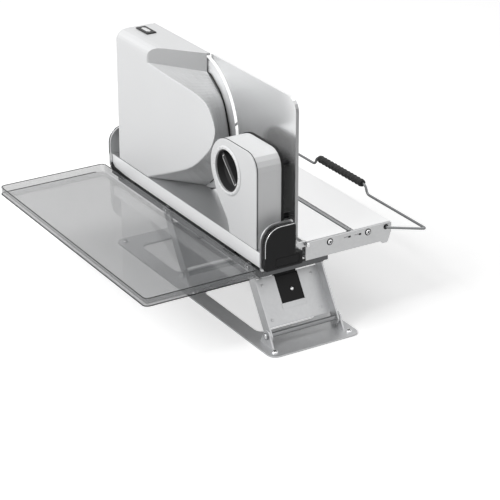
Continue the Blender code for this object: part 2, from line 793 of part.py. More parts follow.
def make_switch_button(look):
    """A flush button with a round pocket in its back that goes over the spring."""
    face = cap_face() - BUTTON_PROUD
    back = face + BUTTON_DEPTH
    button = soften(prism("switch_button", look, "Y", button_outline(0), face, back), BUTTON_PROUD, 1)
    ends = (back - BUTTON_POCKET, back + OVERRUN)
    return cut(button, rod("spring pocket", look, "Y", switch_middle(), WIRE_RADIUS + 2 * GAP, *ends, 12))


def make_switch_spring(look):
    """The spring block that returns the button, seated in the recess behind it."""
    start = cap_face() - BUTTON_PROUD + BUTTON_DEPTH + GAP
    end = cap_face() + BUTTON_DEPTH + BUTTON_TRAVEL
    return rod("switch_spring", look, "Y", switch_middle(), WIRE_RADIUS, start, end, 12)


def make_tray_hook(name, look, start):
    """A hook under the base's left edge that the tray's rim hangs on."""
    top = BASE_BOTTOM - GAP
    wall_left = BASE_LEFT - GAP - HOOK_WALL
    lip = top - HOOK_LIP_DROP
    corners = [
        (BASE_LEFT + HOOK_FOOT, top),
        (wall_left, top),
        (wall_left, lip),
        (wall_left - HOOK_REACH, lip),
        (wall_left - HOOK_REACH, lip - HOOK_LIP),
        (BASE_LEFT - GAP, lip - HOOK_LIP),
        (BASE_LEFT - GAP, top - HOOK_LIP),
        (BASE_LEFT + HOOK_FOOT, top - HOOK_LIP),
    ]
    return prism(name, look, "Y", corners, start, start + HOOK_LENGTH)


# Motor housing

HOUSING_FROM_REAR = 0.016
HOUSING_WALL = 0.0025
HOUSING_TOP_ROUND = 0.012
HOUSING_REAR_ROUND = 0.0045
NOSE_EDGE_ROUND = 0.0014
NOSE_Y = 0.2565
NOSE_REACH = 0.1615
NOSE_TOP = 0.149
MOUTH_Y = 0.198
MOUTH_REACH = 0.051
NOSE_SHARES = (
    (0.0, 1.0),
    (0.31, 0.985),
    (0.59, 0.981),
    (0.78, 0.966),
    (0.905, 0.912),
    (0.985, 0.78),
    (0.955, 0.655),
    (0.873, 0.541),
    (0.655, 0.346),
    (0.345, 0.181),
    (-0.04, 0.0),
)
MOUTH_SHARES = (
    (0.0, 0.98),
    (0.235, 0.934),
    (0.42, 0.892),
    (0.6, 0.846),
    (0.76, 0.775),
    (0.87, 0.675),
    (0.955, 0.585),
    (1.0, 0.47),
    (0.88, 0.345),
    (0.549, 0.188),
    (-0.078, 0.0),
)
RECESS_HOLLOW = 0.9
NOSE_STEPS = 3
SECTION_SHARES = (0.085, 0.17, 0.29, 0.46, 0.65, 0.83, 1.0)
SIDE_PLATE_THICKNESS = 0.002
VISOR_REACH = 0.0042
VISOR_LEAD = 0.0006
VISOR_CLEARANCE = 0.0012
INSERT_LENGTH = 0.029
INSERT_WIDTH = 0.0135
INSERT_THICKNESS = 0.0012
INSERT_FROM_REAR = 0.0115
INSERT_FROM_LEFT = 0.0214

HOUSING_REAR = DECK_LENGTH - HOUSING_FROM_REAR
HOUSING_LEFT = BASE_LEFT
HOUSING_RIGHT = BASE_LEFT + HOUSING_DEPTH
HOUSING_FLOOR = DECK_HEIGHT + HOUSING_WALL + 2 * GAP


def nose_curve():
    """The D-shaped outline of the nose on the housing's left face, from its top to the deck."""
    places = [
        (DECK_FRONT + NOSE_Y - reach * NOSE_REACH, DECK_HEIGHT + GAP + height * NOSE_TOP)
        for reach, height in NOSE_SHARES
    ]
    return smooth(places, NOSE_STEPS)


def mouth_curve():
    """The outline of the housing's edge beside the blade, point for point with the nose."""
    places = [
        (DECK_FRONT + MOUTH_Y - reach * MOUTH_REACH, DECK_HEIGHT + GAP + height * NOSE_TOP)
        for reach, height in MOUTH_SHARES
    ]
    return smooth(places, NOSE_STEPS)


def shoulder_front(depth):
    """How far from the deck's front the housing's slanted shoulder lies at a depth."""
    return DECK_FRONT + NOSE_Y + (MOUTH_Y - NOSE_Y) * depth / HOUSING_DEPTH


def housing_section(depth, shoulder_depth=None):
    """The housing's outline at a depth in from its left face; a cavity's shoulder lies further back."""
    share = depth / HOUSING_DEPTH
    rim = max(HOUSING_TOP_ROUND - depth, 0)
    top = DECK_HEIGHT + HOUSING_HEIGHT - HOUSING_TOP_ROUND
    top += sqrt(HOUSING_TOP_ROUND**2 - rim**2)
    front = shoulder_front(depth if shoulder_depth is None else shoulder_depth)
    rear = DECK_FRONT + HOUSING_REAR
    nose, mouth = nose_curve(), mouth_curve()
    recess = []
    for index, (start, end) in enumerate(zip(nose, mouth)):
        hollow = 1 + RECESS_HOLLOW * sin(pi * index / (len(nose) - 1)) ** 0.6
        recess.append(start.lerp(end, 1 - (1 - share) ** hollow))
    recess[0].x = front
    back = arc((rear - HOUSING_REAR_ROUND, top - HOUSING_REAR_ROUND), HOUSING_REAR_ROUND, 0, 90, 4)
    return [(rear, DECK_HEIGHT + GAP), *back, (front, top), *recess]


def housing_loops(depths):
    """Loops in space from depths, each with an inset and the depths its outline is taken at."""
    loops = []
    for depth, inset, *sources in depths:
        outline = inset_outline(housing_section(*sources), inset)
        loops.append([(HOUSING_LEFT + depth, y, z) for y, z in outline])
    return loops


def make_motor_housing(look):
    """A shell swept from the D-shaped nose to the blade's edge, open on the blade side."""
    edge = NOSE_EDGE_ROUND
    outer = [(0, edge, 0), (edge * 0.3, edge * 0.3, edge * 0.3), (edge, 0, edge)]
    outer += [(HOUSING_DEPTH * share, 0, HOUSING_DEPTH * share) for share in SECTION_SHARES]
    shell = loft("motor_housing", look, housing_loops(outer))
    fuse(shell, make_visor(look))
    wall = HOUSING_WALL
    inner = [(wall, wall * 1.4, wall, 0)]
    for share in SECTION_SHARES[1:]:
        depth = HOUSING_DEPTH * share
        inner.append((depth, wall, min(depth + wall, HOUSING_DEPTH), depth - wall))
    inner.append((HOUSING_DEPTH + OVERRUN, wall, HOUSING_DEPTH, HOUSING_DEPTH - wall))
    return cut(shell, loft("housing cavity", look, housing_loops(inner)))


def make_visor(look):
    """The lip of the housing's top that reaches over the blade."""
    root = HOUSING_DEPTH - HOUSING_WALL / 2
    rear = DECK_FRONT + HOUSING_REAR - HOUSING_REAR_ROUND
    tip = shoulder_front(HOUSING_DEPTH) - VISOR_LEAD
    outline = [
        (HOUSING_LEFT + root, shoulder_front(root)),
        (HOUSING_RIGHT + VISOR_REACH, tip),
        (HOUSING_RIGHT + VISOR_REACH, rear),
        (HOUSING_LEFT + root, rear),
    ]
    top = DECK_HEIGHT + HOUSING_HEIGHT
    low = BLADE_Z + BLADE_RADIUS + VISOR_CLEARANCE
    return prism("blade visor", look, "Z", outline, low, top - SMALL_STEP)


def make_side_plate(look):
    """The black plate that closes the housing behind the blade and holds the axle bush."""
    inset = HOUSING_WALL + 2 * GAP
    depths = (HOUSING_DEPTH - GAP - SIDE_PLATE_THICKNESS, HOUSING_DEPTH - GAP)
    sources = ((at, inset, at, at - HOUSING_WALL) for at in depths)
    plate = loft("housing_side_plate", look, housing_loops(sources))
    centre = (BLADE_Y, BLADE_Z)
    hole = rod("bush hole", look, "X", centre, BUSH_RADIUS + GAP, -HOUSING_DEPTH, HOUSING_DEPTH)
    return cut(plate, hole)


def make_top_insert(look):
    """A plain insert on the housing's top."""
    left = HOUSING_LEFT + INSERT_FROM_LEFT
    far = DECK_FRONT + HOUSING_REAR - INSERT_FROM_REAR
    bottom = DECK_HEIGHT + HOUSING_HEIGHT + GAP
    low = (left, far - INSERT_LENGTH, bottom)
    high = (left + INSERT_WIDTH, far, bottom + INSERT_THICKNESS)
    return soften(block("top_insert", look, low, high), INSERT_THICKNESS / 3, 1)


# Drive: motor, worm, wheel, axle and blade

WORM_MODULE = 0.001
WHEEL_TEETH = 34
WORM_RADIUS = 0.005
WORM_HALF_LENGTH = 0.009
WORM_RING_POINTS = 16
WORM_RINGS_PER_PITCH = 6
TOOTH_SHARE = 0.36
TOOTH_TIP_SHARE = 0.22
TOOTH_RISE = 0.0007
TOOTH_DIP = 0.0012
WHEEL_FACE = 0.004
WHEEL_BORE = 0.0042
DRIVE_OFFSET = 0.0004
SHAFT_RADIUS = 0.0028
SHAFT_FRONT = 0.012
MOTOR_FRONT_GAP = 0.022
MOTOR_TO_WALL = 0.0195
MOTOR_CLEARANCE = 0.0026
MOTOR_NECK_RADIUS = 0.008
MOTOR_NECK = 0.004
SHAFT_INTO_MOTOR = 0.014
CRADLE_END_GAP = 0.003
CRADLE_INSET = 0.003
CRADLE_FROM_FRONT = 0.027
AXLE_RADIUS = 0.004
AXLE_COLLAR_RADIUS = 0.0085
AXLE_COLLAR = 0.0012
AXLE_LEFT = 0.014
BUSH_RADIUS = 0.0075
BUSH_LENGTH = 0.005
GEAR_BRACKET_X = 0.0155
GEAR_BRACKET_HALF = 0.012
GEAR_BRACKET_FOOT = 0.008
GEAR_BRACKET_LEAN = 0.022
BLADE_THICKNESS = 0.0012
BLADE_EDGE = 0.0002
BLADE_GRIND = 0.006
BLADE_STEPS = 64
HUB_RADIUS = 0.018
HUB_HEIGHT = 0.0016
HUB_SCREW_RADIUS = 0.006

CAVITY_LEFT = HOUSING_LEFT + HOUSING_WALL
CAVITY_RIGHT = HOUSING_RIGHT - GAP - SIDE_PLATE_THICKNESS
DRIVE_X = (CAVITY_LEFT + CAVITY_RIGHT) / 2 + DRIVE_OFFSET
MOTOR_RADIUS = (CAVITY_RIGHT - CAVITY_LEFT) / 2 - MOTOR_CLEARANCE
CRADLE_HALF_WIDTH = MOTOR_RADIUS - CRADLE_INSET
PITCH = pi * WORM_MODULE
WHEEL_RADIUS = WORM_MODULE * WHEEL_TEETH / 2
WORM_Z = BLADE_Z + WHEEL_RADIUS + WORM_RADIUS
MOTOR_FRONT = BLADE_Y + MOTOR_FRONT_GAP
MOTOR_LENGTH = DECK_FRONT + HOUSING_REAR - HOUSING_WALL - MOTOR_TO_WALL - MOTOR_FRONT
CRADLE_LENGTH = MOTOR_LENGTH - CRADLE_FROM_FRONT - CRADLE_END_GAP


def tooth_height(phase):
    """The height of a tooth or thread over its pitch line, one pitch being 1 and the crest at 0."""
    away = abs((phase + 0.5) % 1 - 0.5)
    low, high = TOOTH_TIP_SHARE / 2, TOOTH_SHARE - TOOTH_TIP_SHARE / 2
    drop = min(max((away - low) / (high - low), 0), 1)
    return TOOTH_RISE - drop * (TOOTH_RISE + TOOTH_DIP)


def make_worm_shaft(look):
    """The motor's shaft with a worm thread, as rings whose radius follows the thread's phase."""
    half = WORM_HALF_LENGTH
    rings = round(2 * half / PITCH * WORM_RINGS_PER_PITCH)
    stations = [(half * (2 * ring / rings - 1), True) for ring in range(rings + 1)]
    stations = [(-half - SHAFT_FRONT / 2, False), (-half - GAP, False), *stations]
    stations += [(half + GAP, False), (MOTOR_FRONT_GAP + SHAFT_INTO_MOTOR, False)]
    sections = []
    for along, threaded in stations:
        section = []
        for index in range(WORM_RING_POINTS):
            turn = 2 * pi * index / WORM_RING_POINTS
            phase = along / PITCH - (turn - pi) / (2 * pi)
            radius = WORM_RADIUS + tooth_height(phase) if threaded else SHAFT_RADIUS
            place = (DRIVE_X + radius * sin(turn), BLADE_Y + along, WORM_Z + radius * cos(turn))
            section.append(place)
        sections.append(section)
    return loft("worm_shaft", look, sections)


def make_worm_wheel(look):
    """A toothed wheel on the blade axle, with a gap between teeth under the worm's thread."""
    outline = []
    tip, root = WHEEL_RADIUS + TOOTH_RISE, WHEEL_RADIUS - TOOTH_DIP
    low, high = TOOTH_TIP_SHARE / 2, TOOTH_SHARE - TOOTH_TIP_SHARE / 2
    for tooth in range(WHEEL_TEETH):
        for radius, share in ((root, -high), (tip, -low), (tip, low), (root, high)):
            angle = pi / 2 + 2 * pi * (tooth + 0.5 + share) / WHEEL_TEETH
            outline.append((BLADE_Y + radius * cos(angle), BLADE_Z + radius * sin(angle)))
    ends = (DRIVE_X - WHEEL_FACE / 2, DRIVE_X + WHEEL_FACE / 2)
    wheel = prism("worm_wheel", look, "X", outline, *ends)
    bore = rod("wheel bore", look, "X", (BLADE_Y, BLADE_Z), WHEEL_BORE + GAP, -HOUSING_DEPTH, HOUSING_DEPTH)
    return cut(wheel, bore)


def make_motor(look):
    """The motor's can with its front neck and the bore that the shaft runs in."""
    start = MOTOR_FRONT
    neck = start - MOTOR_NECK
    bore = SHAFT_RADIUS + RUNNING
    depth = start + SHAFT_INTO_MOTOR + OVERRUN
    profile = (
        (depth, 0),
        (depth, bore),
        (neck, bore),
        (neck, MOTOR_NECK_RADIUS),
        (start, MOTOR_NECK_RADIUS),
        (start, MOTOR_RADIUS),
        (start + MOTOR_LENGTH, MOTOR_RADIUS),
        (start + MOTOR_LENGTH, 0),
    )
    return revolved("motor_can", look, "Y", (DRIVE_X, WORM_Z), profile)


def make_motor_cradle(look):
    """A block on the deck whose top is hollowed to the motor's radius."""
    near = MOTOR_FRONT + CRADLE_FROM_FRONT
    low = (DRIVE_X - CRADLE_HALF_WIDTH, near, HOUSING_FLOOR)
    high = (DRIVE_X + CRADLE_HALF_WIDTH, near + CRADLE_LENGTH, WORM_Z - MOTOR_NECK_RADIUS)
    cradle = block("motor_cradle", look, low, high)
    ends = (near - OVERRUN, near + CRADLE_LENGTH + OVERRUN)
    return cut(cradle, rod("motor seat", look, "Y", (DRIVE_X, WORM_Z), MOTOR_RADIUS + GAP, *ends))


def make_gear_bracket(look):
    """A folded bracket that stands on the deck and holds the axle's left end."""
    left = HOUSING_LEFT + GEAR_BRACKET_X
    half, foot = GEAR_BRACKET_HALF, HOUSING_FLOOR
    near = BLADE_Y + GEAR_BRACKET_LEAN
    corners = [
        (near, foot, 0),
        (near + 2 * half, foot, 0),
        (BLADE_Y + half, BLADE_Z, half / 2),
        (BLADE_Y + half, BLADE_Z + half, half / 2),
        (BLADE_Y - half, BLADE_Z + half, half / 2),
        (BLADE_Y - half, BLADE_Z - half, half / 2),
    ]
    bracket = prism("gear_bracket", look, "X", rounded(corners), left, left + SHEET)
    low = (left + SHEET / 2, near, foot)
    high = (left + SHEET + GEAR_BRACKET_FOOT, near + 2 * half, foot + SHEET)
    flat = block("bracket foot", look, low, high)
    hole = rod("axle hole", look, "X", (BLADE_Y, BLADE_Z), AXLE_RADIUS + GAP, left - OVERRUN, left + 2 * OVERRUN)
    return cut(fuse(bracket, flat), hole)


def make_axle(look):
    """The blade's axle, stepped for the wheel and collared against the blade."""
    left = HOUSING_LEFT + AXLE_LEFT
    collar = BLADE_PLANE - GAP
    profile = (
        (left, 0),
        (left, AXLE_RADIUS),
        (collar - AXLE_COLLAR, AXLE_RADIUS),
        (collar - AXLE_COLLAR, AXLE_COLLAR_RADIUS),
        (collar, AXLE_COLLAR_RADIUS),
        (collar, 0),
    )
    return revolved("blade_axle", look, "X", (BLADE_Y, BLADE_Z), profile)


def make_axle_bush(look):
    """A collared bush in the side plate that the axle runs in."""
    right = HOUSING_RIGHT - 2 * GAP
    left = right - BUSH_LENGTH
    profile = (
        (left, AXLE_RADIUS + GAP),
        (left, BUSH_RADIUS),
        (right, BUSH_RADIUS),
        (right, AXLE_RADIUS + GAP),
    )
    return revolved("axle_bush", look, "X", (BLADE_Y, BLADE_Z), profile, ring=True)


def make_blade(look):
    """A disc ground on its left side, with a seat for the hub."""
    left, right = BLADE_PLANE, BLADE_PLANE + BLADE_THICKNESS
    ground = BLADE_RADIUS - BLADE_GRIND
    profile = (
        (left, 0),
        (left, ground),
        (right - BLADE_EDGE, BLADE_RADIUS),
        (right, BLADE_RADIUS),
        (right, 0),
    )
    return revolved("blade", look, "X", (BLADE_Y, BLADE_Z), profile, BLADE_STEPS)


def make_blade_hub(look):
    """The clamping disc on the blade's food side, domed down to its rim, with a coin slot."""
    left = BLADE_PLANE + BLADE_THICKNESS + GAP
    profile = (
        (left, 0),
        (left, HUB_RADIUS),
        (left + HUB_HEIGHT / 3, HUB_RADIUS),
        (left + HUB_HEIGHT, HUB_RADIUS * 0.8),
        (left + HUB_HEIGHT, 0),
    )
    hub = revolved("blade_hub", look, "X", (BLADE_Y, BLADE_Z), profile, 32)
    half = HUB_SCREW_RADIUS
    slot = rectangle(BLADE_Y - half, BLADE_Z - half / 4, BLADE_Y + half, BLADE_Z + half / 4)
    ends = (left + HUB_HEIGHT / 2, left + HUB_HEIGHT + OVERRUN)
    return cut(hub, prism("coin slot", look, "X", slot, *ends))


# Stop plate and its adjuster

PLATE_FROM_BLADE = 0.0030
PLATE_THICKNESS = 0.004
PLATE_FRONT = 0.0115
PLATE_REAR = 0.1955
PLATE_BOTTOM = 0.002
PLATE_TOP = 0.1685
PLATE_CORNER = 0.016
PLATE_BLADE_CLEARANCE = 0.003
PLATE_TRAVEL = 0.014
BOX_FRONT = 0.0095
BOX_TOP = 0.112
BOX_REAR = 0.068
BOX_DEPTH = 0.033
BOX_CORNER = 0.020
BOX_WALL = 0.002
BOX_EDGE = 0.0012
LID_THICKNESS = 0.002
BACK_THICKNESS = 0.0027
BACK_MARGIN = 0.0010
DIAL_Y = 0.0715
DIAL_Z = 0.075
DIAL_RADIUS = 0.0245
DIAL_RING = 0.0370
DIAL_FACE = 0.0085
DIAL_FLOOR = 0.0135
DIAL_BACK = 0.0170
DIAL_RIM = 0.0008
DIAL_WALL = 0.0025
FIN_HALF_WIDTH = 0.0032
FIN_FACE = 0.0030
FIN_TURN = radians(134)
COLLAR_WIDTH = 0.0048
COLLAR_HEIGHT = 0.0014
THROAT_DROP = 0.022
THROAT_SHARES = ((0.93, 0.17), (0.52, 0.72), (0.14, 1.12), (0.0, 1.5))
SPINDLE_RADIUS = 0.0035
SPINDLE_END = 0.0372
SLEEVE_START = 0.0350
SLEEVE_RADIUS = 0.0065
SLEEVE_FLANGE = 0.0110
SLEEVE_FLANGE_THICKNESS = 0.002
GUIDE_ROD_RADIUS = 0.0030
GUIDE_ROD_START = 0.0300
GUIDE_ROD_INSET = 0.018
GUIDE_ROD_HEIGHT_SHARES = (0.22, 0.80)

PLATE_X = BLADE_PLANE + PLATE_FROM_BLADE
DIAL = (DECK_FRONT + DIAL_Y, DECK_HEIGHT + DIAL_Z)
BOX_INNER_LEFT = BASE_LEFT + LID_THICKNESS + GAP
BOX_RIGHT = BASE_LEFT + BOX_DEPTH


def make_stop_plate(look):
    """The thickness plate, with its arc clear of the blade's edge."""
    front, rear = DECK_FRONT + PLATE_FRONT, DECK_FRONT + PLATE_REAR
    bottom, top = DECK_HEIGHT + PLATE_BOTTOM, DECK_HEIGHT + PLATE_TOP
    radius = BLADE_RADIUS + PLATE_BLADE_CLEARANCE
    low_side = sqrt(radius**2 - (BLADE_Z - bottom) ** 2)
    start = atan2(bottom - BLADE_Z, -low_side)
    end = atan2(sqrt(radius**2 - (BLADE_Y - rear) ** 2), rear - BLADE_Y)
    sweep = (end - start) % (-2 * pi)
    steps = 24
    bite = []
    for step in range(steps + 1):
        angle = start + sweep * step / steps
        bite.append((BLADE_Y + radius * cos(angle), BLADE_Z + radius * sin(angle)))
    corner = rounded([(rear, top, 0), (front, top, PLATE_CORNER), (front, bottom, 0)], 5)
    outline = bite + corner
    return prism("stop_plate", look, "X", outline, PLATE_X, PLATE_X + PLATE_THICKNESS)


def box_outline(margin=0):
    """The knob box from the left: a straight front, a round ring at the dial and a throat below it."""
    front = DECK_FRONT + BOX_FRONT - margin
    top = DECK_HEIGHT + BOX_TOP + margin
    rear = DECK_FRONT + BOX_REAR + margin
    bottom = DECK_HEIGHT + GAP
    corner = BOX_CORNER + margin
    ring = DIAL_RING + margin
    throat = DIAL[1] - THROAT_DROP
    fall = -atan2(THROAT_DROP, sqrt(ring**2 - THROAT_DROP**2))
    outline = arc((front + corner, top - corner), corner, 180, 90, 5)
    outline += arc(DIAL, ring, 90, fall * 180 / pi, 14)
    ease = ring * cos(fall) + DIAL[0] - rear
    outline += smooth([(rear + ease * over, throat - ease * down) for over, down in THROAT_SHARES], 2)
    return outline + [(rear, bottom), (front, bottom)]


def dial_hole(look, low, high):
    return rod("dial hole", look, "X", DIAL, DIAL_RADIUS + RUNNING, low, high, 40)


def make_box_body(look):
    """The box's tube-like wall between its lid and its back."""
    outline = box_outline()
    shell = prism("knob_box_body", look, "X", outline, BOX_INNER_LEFT, BOX_RIGHT)
    inner = inset_outline(outline, BOX_WALL)
    ends = (BOX_INNER_LEFT - OVERRUN, BOX_RIGHT + OVERRUN)
    return cut(shell, prism("box cavity", look, "X", inner, *ends))


def make_box_lid(look):
    left = BASE_LEFT
    lid = soften(prism("knob_box_lid", look, "X", box_outline(), left, left + LID_THICKNESS), BOX_EDGE / 2)
    return cut(lid, dial_hole(look, left - OVERRUN, left + LID_THICKNESS + OVERRUN))


def make_box_back(look):
    """The black back, a little larger than the box, with holes for the sliding parts."""
    left = BOX_RIGHT + GAP
    right = left + BACK_THICKNESS
    back = prism("knob_box_back", look, "X", box_outline(BACK_MARGIN), left, right)
    ends = (left - OVERRUN, right + OVERRUN)
    cut(back, rod("sleeve hole", look, "X", DIAL, SLEEVE_RADIUS + RUNNING, *ends))
    for place in guide_rod_places():
        cut(back, rod("rod hole", look, "X", place, GUIDE_ROD_RADIUS + RUNNING, *ends, 16))
    return back


def make_dial_collar(look):
    """The raised round rim of the dial's hole."""
    right = BASE_LEFT - GAP
    left = right - COLLAR_HEIGHT
    inner, outer = DIAL_RADIUS + RUNNING, DIAL_RADIUS + COLLAR_WIDTH
    profile = (
        (right, inner),
        (left + COLLAR_HEIGHT / 3, inner),
        (left, inner + COLLAR_WIDTH / 4),
        (left, outer - COLLAR_WIDTH / 3),
        (right, outer),
    )
    return revolved("dial_collar", look, "X", DIAL, profile, 40, ring=True)


def make_thickness_knob(look):
    """A cupped knob with a bar across it to grip."""
    left = BASE_LEFT
    profile = (
        (left + DIAL_BACK, 0),
        (left + DIAL_BACK, DIAL_RADIUS),
        (left + DIAL_RIM, DIAL_RADIUS),
        (left + DIAL_RIM, DIAL_RADIUS - DIAL_WALL / 2),
        (left + DIAL_FACE, DIAL_RADIUS - DIAL_WALL),
        (left + DIAL_FLOOR, DIAL_RADIUS - 2 * DIAL_WALL),
        (left + DIAL_FLOOR, 0),
    )
    knob = revolved("thickness_knob", look, "X", DIAL, profile, 40)
    reach = DIAL_RADIUS - DIAL_WALL
    bar = []
    for along, across in ((-1, -1), (1, -1), (1, 1), (-1, 1)):
        first = along * reach * cos(FIN_TURN) - across * FIN_HALF_WIDTH * sin(FIN_TURN)
        second = along * reach * sin(FIN_TURN) + across * FIN_HALF_WIDTH * cos(FIN_TURN)
        bar.append((DIAL[0] - first, DIAL[1] + second))
    ends = (left + FIN_FACE, left + DIAL_FLOOR + DIAL_RIM / 2)
    return fuse(knob, prism("grip bar", look, "X", bar, *ends))


def make_knob_spindle(look):
    ends = (BASE_LEFT + DIAL_BACK + GAP, BASE_LEFT + SPINDLE_END)
    return rod("knob_spindle", look, "X", DIAL, SPINDLE_RADIUS, *ends, 16)


def make_adjuster_sleeve(look):
    """The flanged sleeve on the stop plate's back that the spindle turns in."""
    left, right = BASE_LEFT + SLEEVE_START, PLATE_X - GAP
    flange = right - SLEEVE_FLANGE_THICKNESS
    bore = SPINDLE_RADIUS + RUNNING
    profile = (
        (left, bore),
        (left, SLEEVE_RADIUS),
        (flange, SLEEVE_RADIUS),
        (flange, SLEEVE_FLANGE),
        (right, SLEEVE_FLANGE),
        (right, bore),
    )
    return revolved("adjuster_sleeve", look, "X", DIAL, profile, ring=True)


def guide_rod_places():
    y = DECK_FRONT + BOX_FRONT + GUIDE_ROD_INSET
    return [(y, DECK_HEIGHT + share * BOX_TOP) for share in GUIDE_ROD_HEIGHT_SHARES]


def make_guide_rod(name, look, place):
    return rod(name, look, "X", place, GUIDE_ROD_RADIUS, BASE_LEFT + GUIDE_ROD_START, PLATE_X - GAP, 16)


# Catch tray

TRAY_WIDTH = 0.156
TRAY_FRONT = -0.010
TRAY_REAR = 0.372
TRAY_DEPTH = 0.010
TRAY_WALL = 0.0018
TRAY_CORNER = 0.020
TRAY_RIM = 0.0022
TRAY_RIM_THICKNESS = 0.0018
TRAY_DRAFT = 0.0025


def tray_loop(grow, z):
    rim_right = BASE_LEFT - 2 * GAP - HOOK_WALL - RUNNING
    right = rim_right - TRAY_RIM + grow
    left = rim_right - TRAY_WIDTH - grow
    near, far = DECK_FRONT + TRAY_FRONT - grow, DECK_FRONT + TRAY_REAR + grow
    outline = rounded_box(left, near, right, far, TRAY_CORNER + grow, 6)
    return [(x, y, z) for x, y in outline]


def make_catch_tray(look):
    """A shallow clear tray: drafted walls and a rim turned out, with its hollow lofted in."""
    top = BASE_BOTTOM - GAP - HOOK_LIP_DROP + GAP + TRAY_RIM_THICKNESS
    bottom = top - TRAY_DEPTH
    under = top - TRAY_RIM_THICKNESS
    outer = [
        tray_loop(-TRAY_DRAFT - TRAY_WALL, bottom),
        tray_loop(-TRAY_DRAFT, bottom + TRAY_WALL),
        tray_loop(-TRAY_WALL / 4, under),
        tray_loop(TRAY_RIM, under),
        tray_loop(TRAY_RIM, top),
    ]
    inner = [
        tray_loop(-TRAY_DRAFT - 2 * TRAY_WALL, bottom + TRAY_WALL),
        tray_loop(-TRAY_DRAFT - TRAY_WALL, bottom + 2 * TRAY_WALL),
        tray_loop(-TRAY_WALL, top),
        tray_loop(-TRAY_WALL + TRAY_DRAFT / 4, top + OVERRUN),
    ]
    return cut(loft("catch_tray", look, outer), loft("tray hollow", look, inner))


# Cord gland

GLAND_RADIUS = 0.0065
GLAND_FLANGE = 0.009
GLAND_LENGTH = 0.012
GLAND_HEIGHT = 0.020
GLAND_BORE = 0.0032


def make_cord_gland(look):
    """The tapered bush on the housing's rear wall where the mains lead would leave."""
    start = DECK_FRONT + HOUSING_REAR + GAP
    profile = (
        (start, GLAND_BORE),
        (start, GLAND_FLANGE),
        (start + SHEET, GLAND_FLANGE),
        (start + SHEET, GLAND_RADIUS),
        (start + GLAND_LENGTH, GLAND_RADIUS * 0.75),
        (start + GLAND_LENGTH, GLAND_BORE),
    )
    centre = (DRIVE_X, DECK_HEIGHT + GLAND_HEIGHT)
    return revolved("cord_gland", look, "Y", centre, profile, 16, ring=True)


def tip_pin(name, look, rear):
    middle = DECK_REAR + SHEET if rear else DECK_FRONT - SHEET
    ends = (middle - TIP_PIN_LENGTH / 2, middle + TIP_PIN_LENGTH / 2)
    return rod(name, look, "Y", TIP_PIVOT, PIN_RADIUS, *ends, 12)


